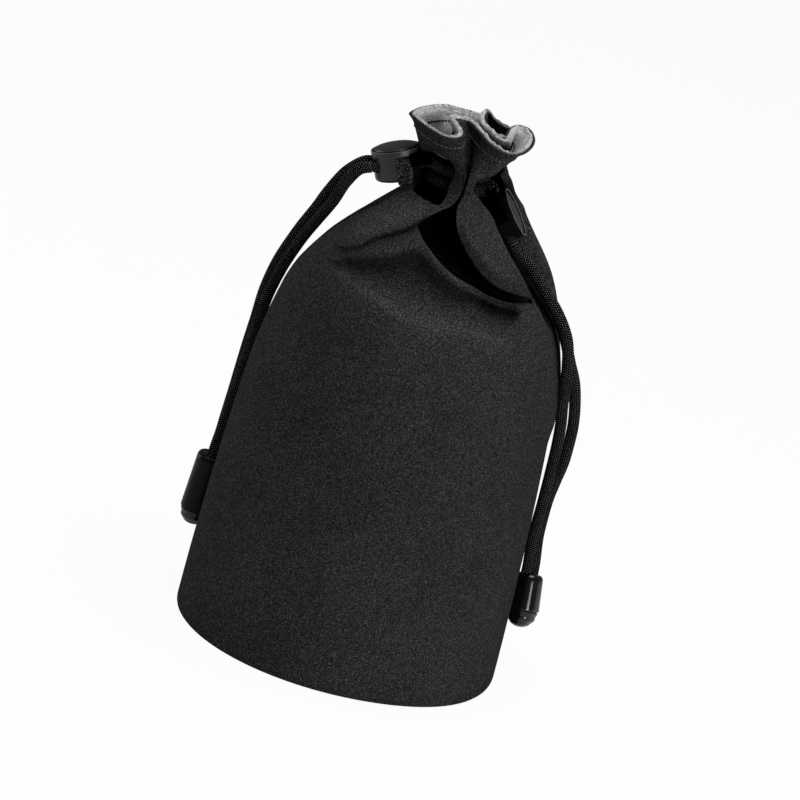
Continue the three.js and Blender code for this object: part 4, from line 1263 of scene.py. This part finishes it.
def make_button(lock):
    """The left button stands proud of its ring; the right one shows almost flush, its dome lower."""
    base, rise = (10.1, 1.15) if lock.side == "left" else (9.35, 0.55)
    dome = [(BUTTON_RADIUS * math.cos(a), base + rise * math.sin(a)) for a in np.linspace(0, math.pi / 2, 14)]
    dome[-1] = (0.05, base + rise)
    plunger = [(0.05, 8.85), (1.55, 8.85), (1.55, 2.4), (5.9, 2.4), (5.9, 3.2), (1.9, 3.2), (1.9, 8.85)]
    plunger += [(BUTTON_WAIST, 8.85), (BUTTON_WAIST, base - 0.25)]
    plunger += [(BUTTON_RADIUS, base - 0.15), (BUTTON_RADIUS, base)]
    points, faces = loft(revolve([*rounded(plunger, 0.25, 3)[:-1], *dome], LOCK_SIDES))
    points = placed(points, lock.middle, lock.axes)
    piece = new_piece(f"{lock.side}_lock_push", points, faces, LOCK_PLASTIC, sharp=40)
    dress(piece, "lock_plastic", f"{lock.side}_lock_button")
    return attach(piece, f"{lock.side}_button")


def make_spring(lock):
    """Coil in the button's hollow post."""
    rings = []
    wire = once_round(10)
    for share in np.linspace(0, 1, 145):
        turn = 2 * math.pi * SPRING_TURNS * share
        outward = np.array([math.cos(turn), math.sin(turn), 0])
        centre = outward * SPRING_RADIUS + UP * (SPRING_LOW + SPRING_LENGTH * share)
        rings.append(centre + WIRE_RADIUS * (np.cos(wire)[:, None] * outward + np.sin(wire)[:, None] * UP))
    points, faces = loft(rings)
    piece = new_piece(f"{lock.side}_lock_coil", placed(points, lock.middle, lock.axes), faces, STEEL)
    dress(piece, "spring_steel", f"{lock.side}_lock_spring")
    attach(piece, f"{lock.side}_lock")
    foot = lock.place(0, 0, SPRING_FOOT)
    way = lock.place(0, 0, SPRING_FOOT + 1) - foot
    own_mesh(piece)


def strip(path, half_width, thickness, width_way):
    """Rings of a flat webbing strip along a path, with rounded edges."""
    path = np.array(path, float)
    along = np.gradient(path, axis=0)
    rings = []
    for point, way in zip(path, along):
        thick_way = unit(np.cross(unit(way), width_way))
        ring = []
        for angle in once_round(20):
            wide = np.sign(math.cos(angle)) * abs(math.cos(angle)) ** 0.35 * half_width
            thick = np.sign(math.sin(angle)) * abs(math.sin(angle)) ** 0.7 * thickness / 2
            ring.append(point + np.array(width_way) * wide + thick_way * thick)
        rings.append(ring)
    return rings


WEBBING_THICKNESS = 0.85
SLING_MIDDLE, SLING_HALF_WIDTH = -2.2, 2.3
STRAP_HALF_WIDTH = 1.6
STRAP_HEIGHT = 6.2
STRAP_END = -11.3


def make_tab(lock):
    """Sling under the housing and up its flanks, and two straps back into the pouch."""
    sling = rounded([(7.65, 7.7), (7.65, -0.75), (-7.65, -0.75), (-7.65, 7.7)], 1.6, 8)
    sling = evenly(np.array([(SLING_MIDDLE, y, z) for y, z in sling]), 70)
    points, faces = loft(strip(sling, SLING_HALF_WIDTH, WEBBING_THICKNESS, (1, 0, 0)))
    # Only the left sling keeps the light webbing; the straps and the right sling take the near-black copy as
    # painted shade.
    light_faces = len(faces) if lock.side == "left" else 0
    for sign in (-1, 1):
        stations = [(-2.5, 7.35, 6.25), (-6, 7.35, STRAP_HEIGHT), (STRAP_END, 7.3, STRAP_HEIGHT)]
        strap = evenly(np.array(stations) * [1, sign, 1], 24)
        rings = strip(strap, STRAP_HALF_WIDTH, WEBBING_THICKNESS, (0, 0, 1))
        more_points, more_faces = loft(rings)
        faces = faces + [[index + len(points) for index in face] for face in more_faces]
        points = np.concatenate([points, more_points])
    piece = new_piece(f"{lock.side}_lock_sling", placed(points, lock.middle, lock.axes), faces, WEBBING)
    piece.data.materials.append(THREAD_AND_SHADE_WEBBING)
    for face in piece.data.polygons[light_faces:]:
        face.material_index = 1
    dress(piece, "webbing", f"{lock.side}_lock_tab")
    return lock.bend(piece, ("pouch", f"{lock.side}_lock"), STRAP_END, -6.5, STRAP_HEIGHT)


for lock in LOCKS:
    make_housing(lock)
    make_button(lock)
    make_spring(lock)
    make_tab(lock)


# Floor, light and view

# Black plastic shows the white backdrop only dimly
BACKDROP_IN_GLOSS = 0.15
AMBIENT = 0.05
FLOOR_WHITENESS = 0.95


def make_floor():
    finish = Finish("floor", 0.9, Base_Color=(0.8, 0.8, 0.8, 1), Specular_IOR_Level=0.1)
    tree = finish.tree
    path = finish.add("ShaderNodeLightPath").outputs
    mirrored = finish.add("ShaderNodeMapRange", {"Value": path["Is Glossy Ray"], "To Max": BACKDROP_IN_GLOSS})
    seen = finish.math("MAXIMUM", path["Is Camera Ray"], path["Is Transmission Ray"])
    seen = finish.math("MAXIMUM", seen, mirrored.outputs[0])
    white = finish.add("ShaderNodeEmission", {"Color": (1, 1, 1, 1), "Strength": 1.0})
    mixed = finish.add("ShaderNodeMixShader", {
        0: finish.math("MULTIPLY", seen, FLOOR_WHITENESS), 1: finish.shader.outputs[0], 2: white.outputs[0],
    })
    tree.links.new(mixed.outputs[0], tree.nodes["Material Output"].inputs["Surface"])
    corners = [(-4000, -4000, 0), (4000, -4000, 0), (4000, 6000, 0), (-4000, 6000, 0)]
    floor = new_piece("floor", corners, [(0, 1, 2, 3)], finish.material)


def make_lamp(name, place, size, power, aim=(0, 0, 0.085)):
    data = bpy.data.lights.new(name, "AREA")
    data.shape = "RECTANGLE"
    data.size, data.size_y = size
    data.energy = power
    lamp = bpy.data.objects.new(name, data)
    bpy.context.collection.objects.link(lamp)
    lamp.location = place
    lamp.rotation_euler = (Vector(aim) - Vector(place)).to_track_quat("-Z", "Y").to_euler()


def make_world():
    """White to the camera, dimmer in gloss, with a little light of its own."""
    world = bpy.data.worlds.new("studio")
    bpy.context.scene.world = world
    world.use_nodes = True
    tree = world.node_tree
    background = tree.nodes["Background"]
    background.inputs["Color"].default_value = (1, 1, 1, 1)
    path = add_node(tree, "ShaderNodeLightPath").outputs
    rays = {0: path["Is Camera Ray"], 1: path["Is Transmission Ray"]}
    through = add_node(tree, "ShaderNodeMath", rays, operation="MAXIMUM").outputs[0]
    seen = add_node(tree, "ShaderNodeMapRange", {"Value": through, "To Min": AMBIENT, "To Max": 1.0})
    glossy = {"Value": path["Is Glossy Ray"], "To Max": BACKDROP_IN_GLOSS}
    mirrored = add_node(tree, "ShaderNodeMapRange", glossy)
    strengths = {0: seen.outputs[0], 1: mirrored.outputs[0]}
    stronger = add_node(tree, "ShaderNodeMath", strengths, operation="MAXIMUM").outputs[0]
    tree.links.new(stronger, background.inputs["Strength"])


make_floor()
make_lamp("overhead", (0.15, -0.05, 1.0), (0.8, 0.8), 9.5)
make_lamp("front", (0.95, -1.05, 0.3), (0.5, 0.5), 7.8)
make_lamp("left", (-0.9, 0.3, 0.3), (0.3, 0.6), 3.0)
make_world()
bpy.context.scene.view_settings.view_transform = "Standard"
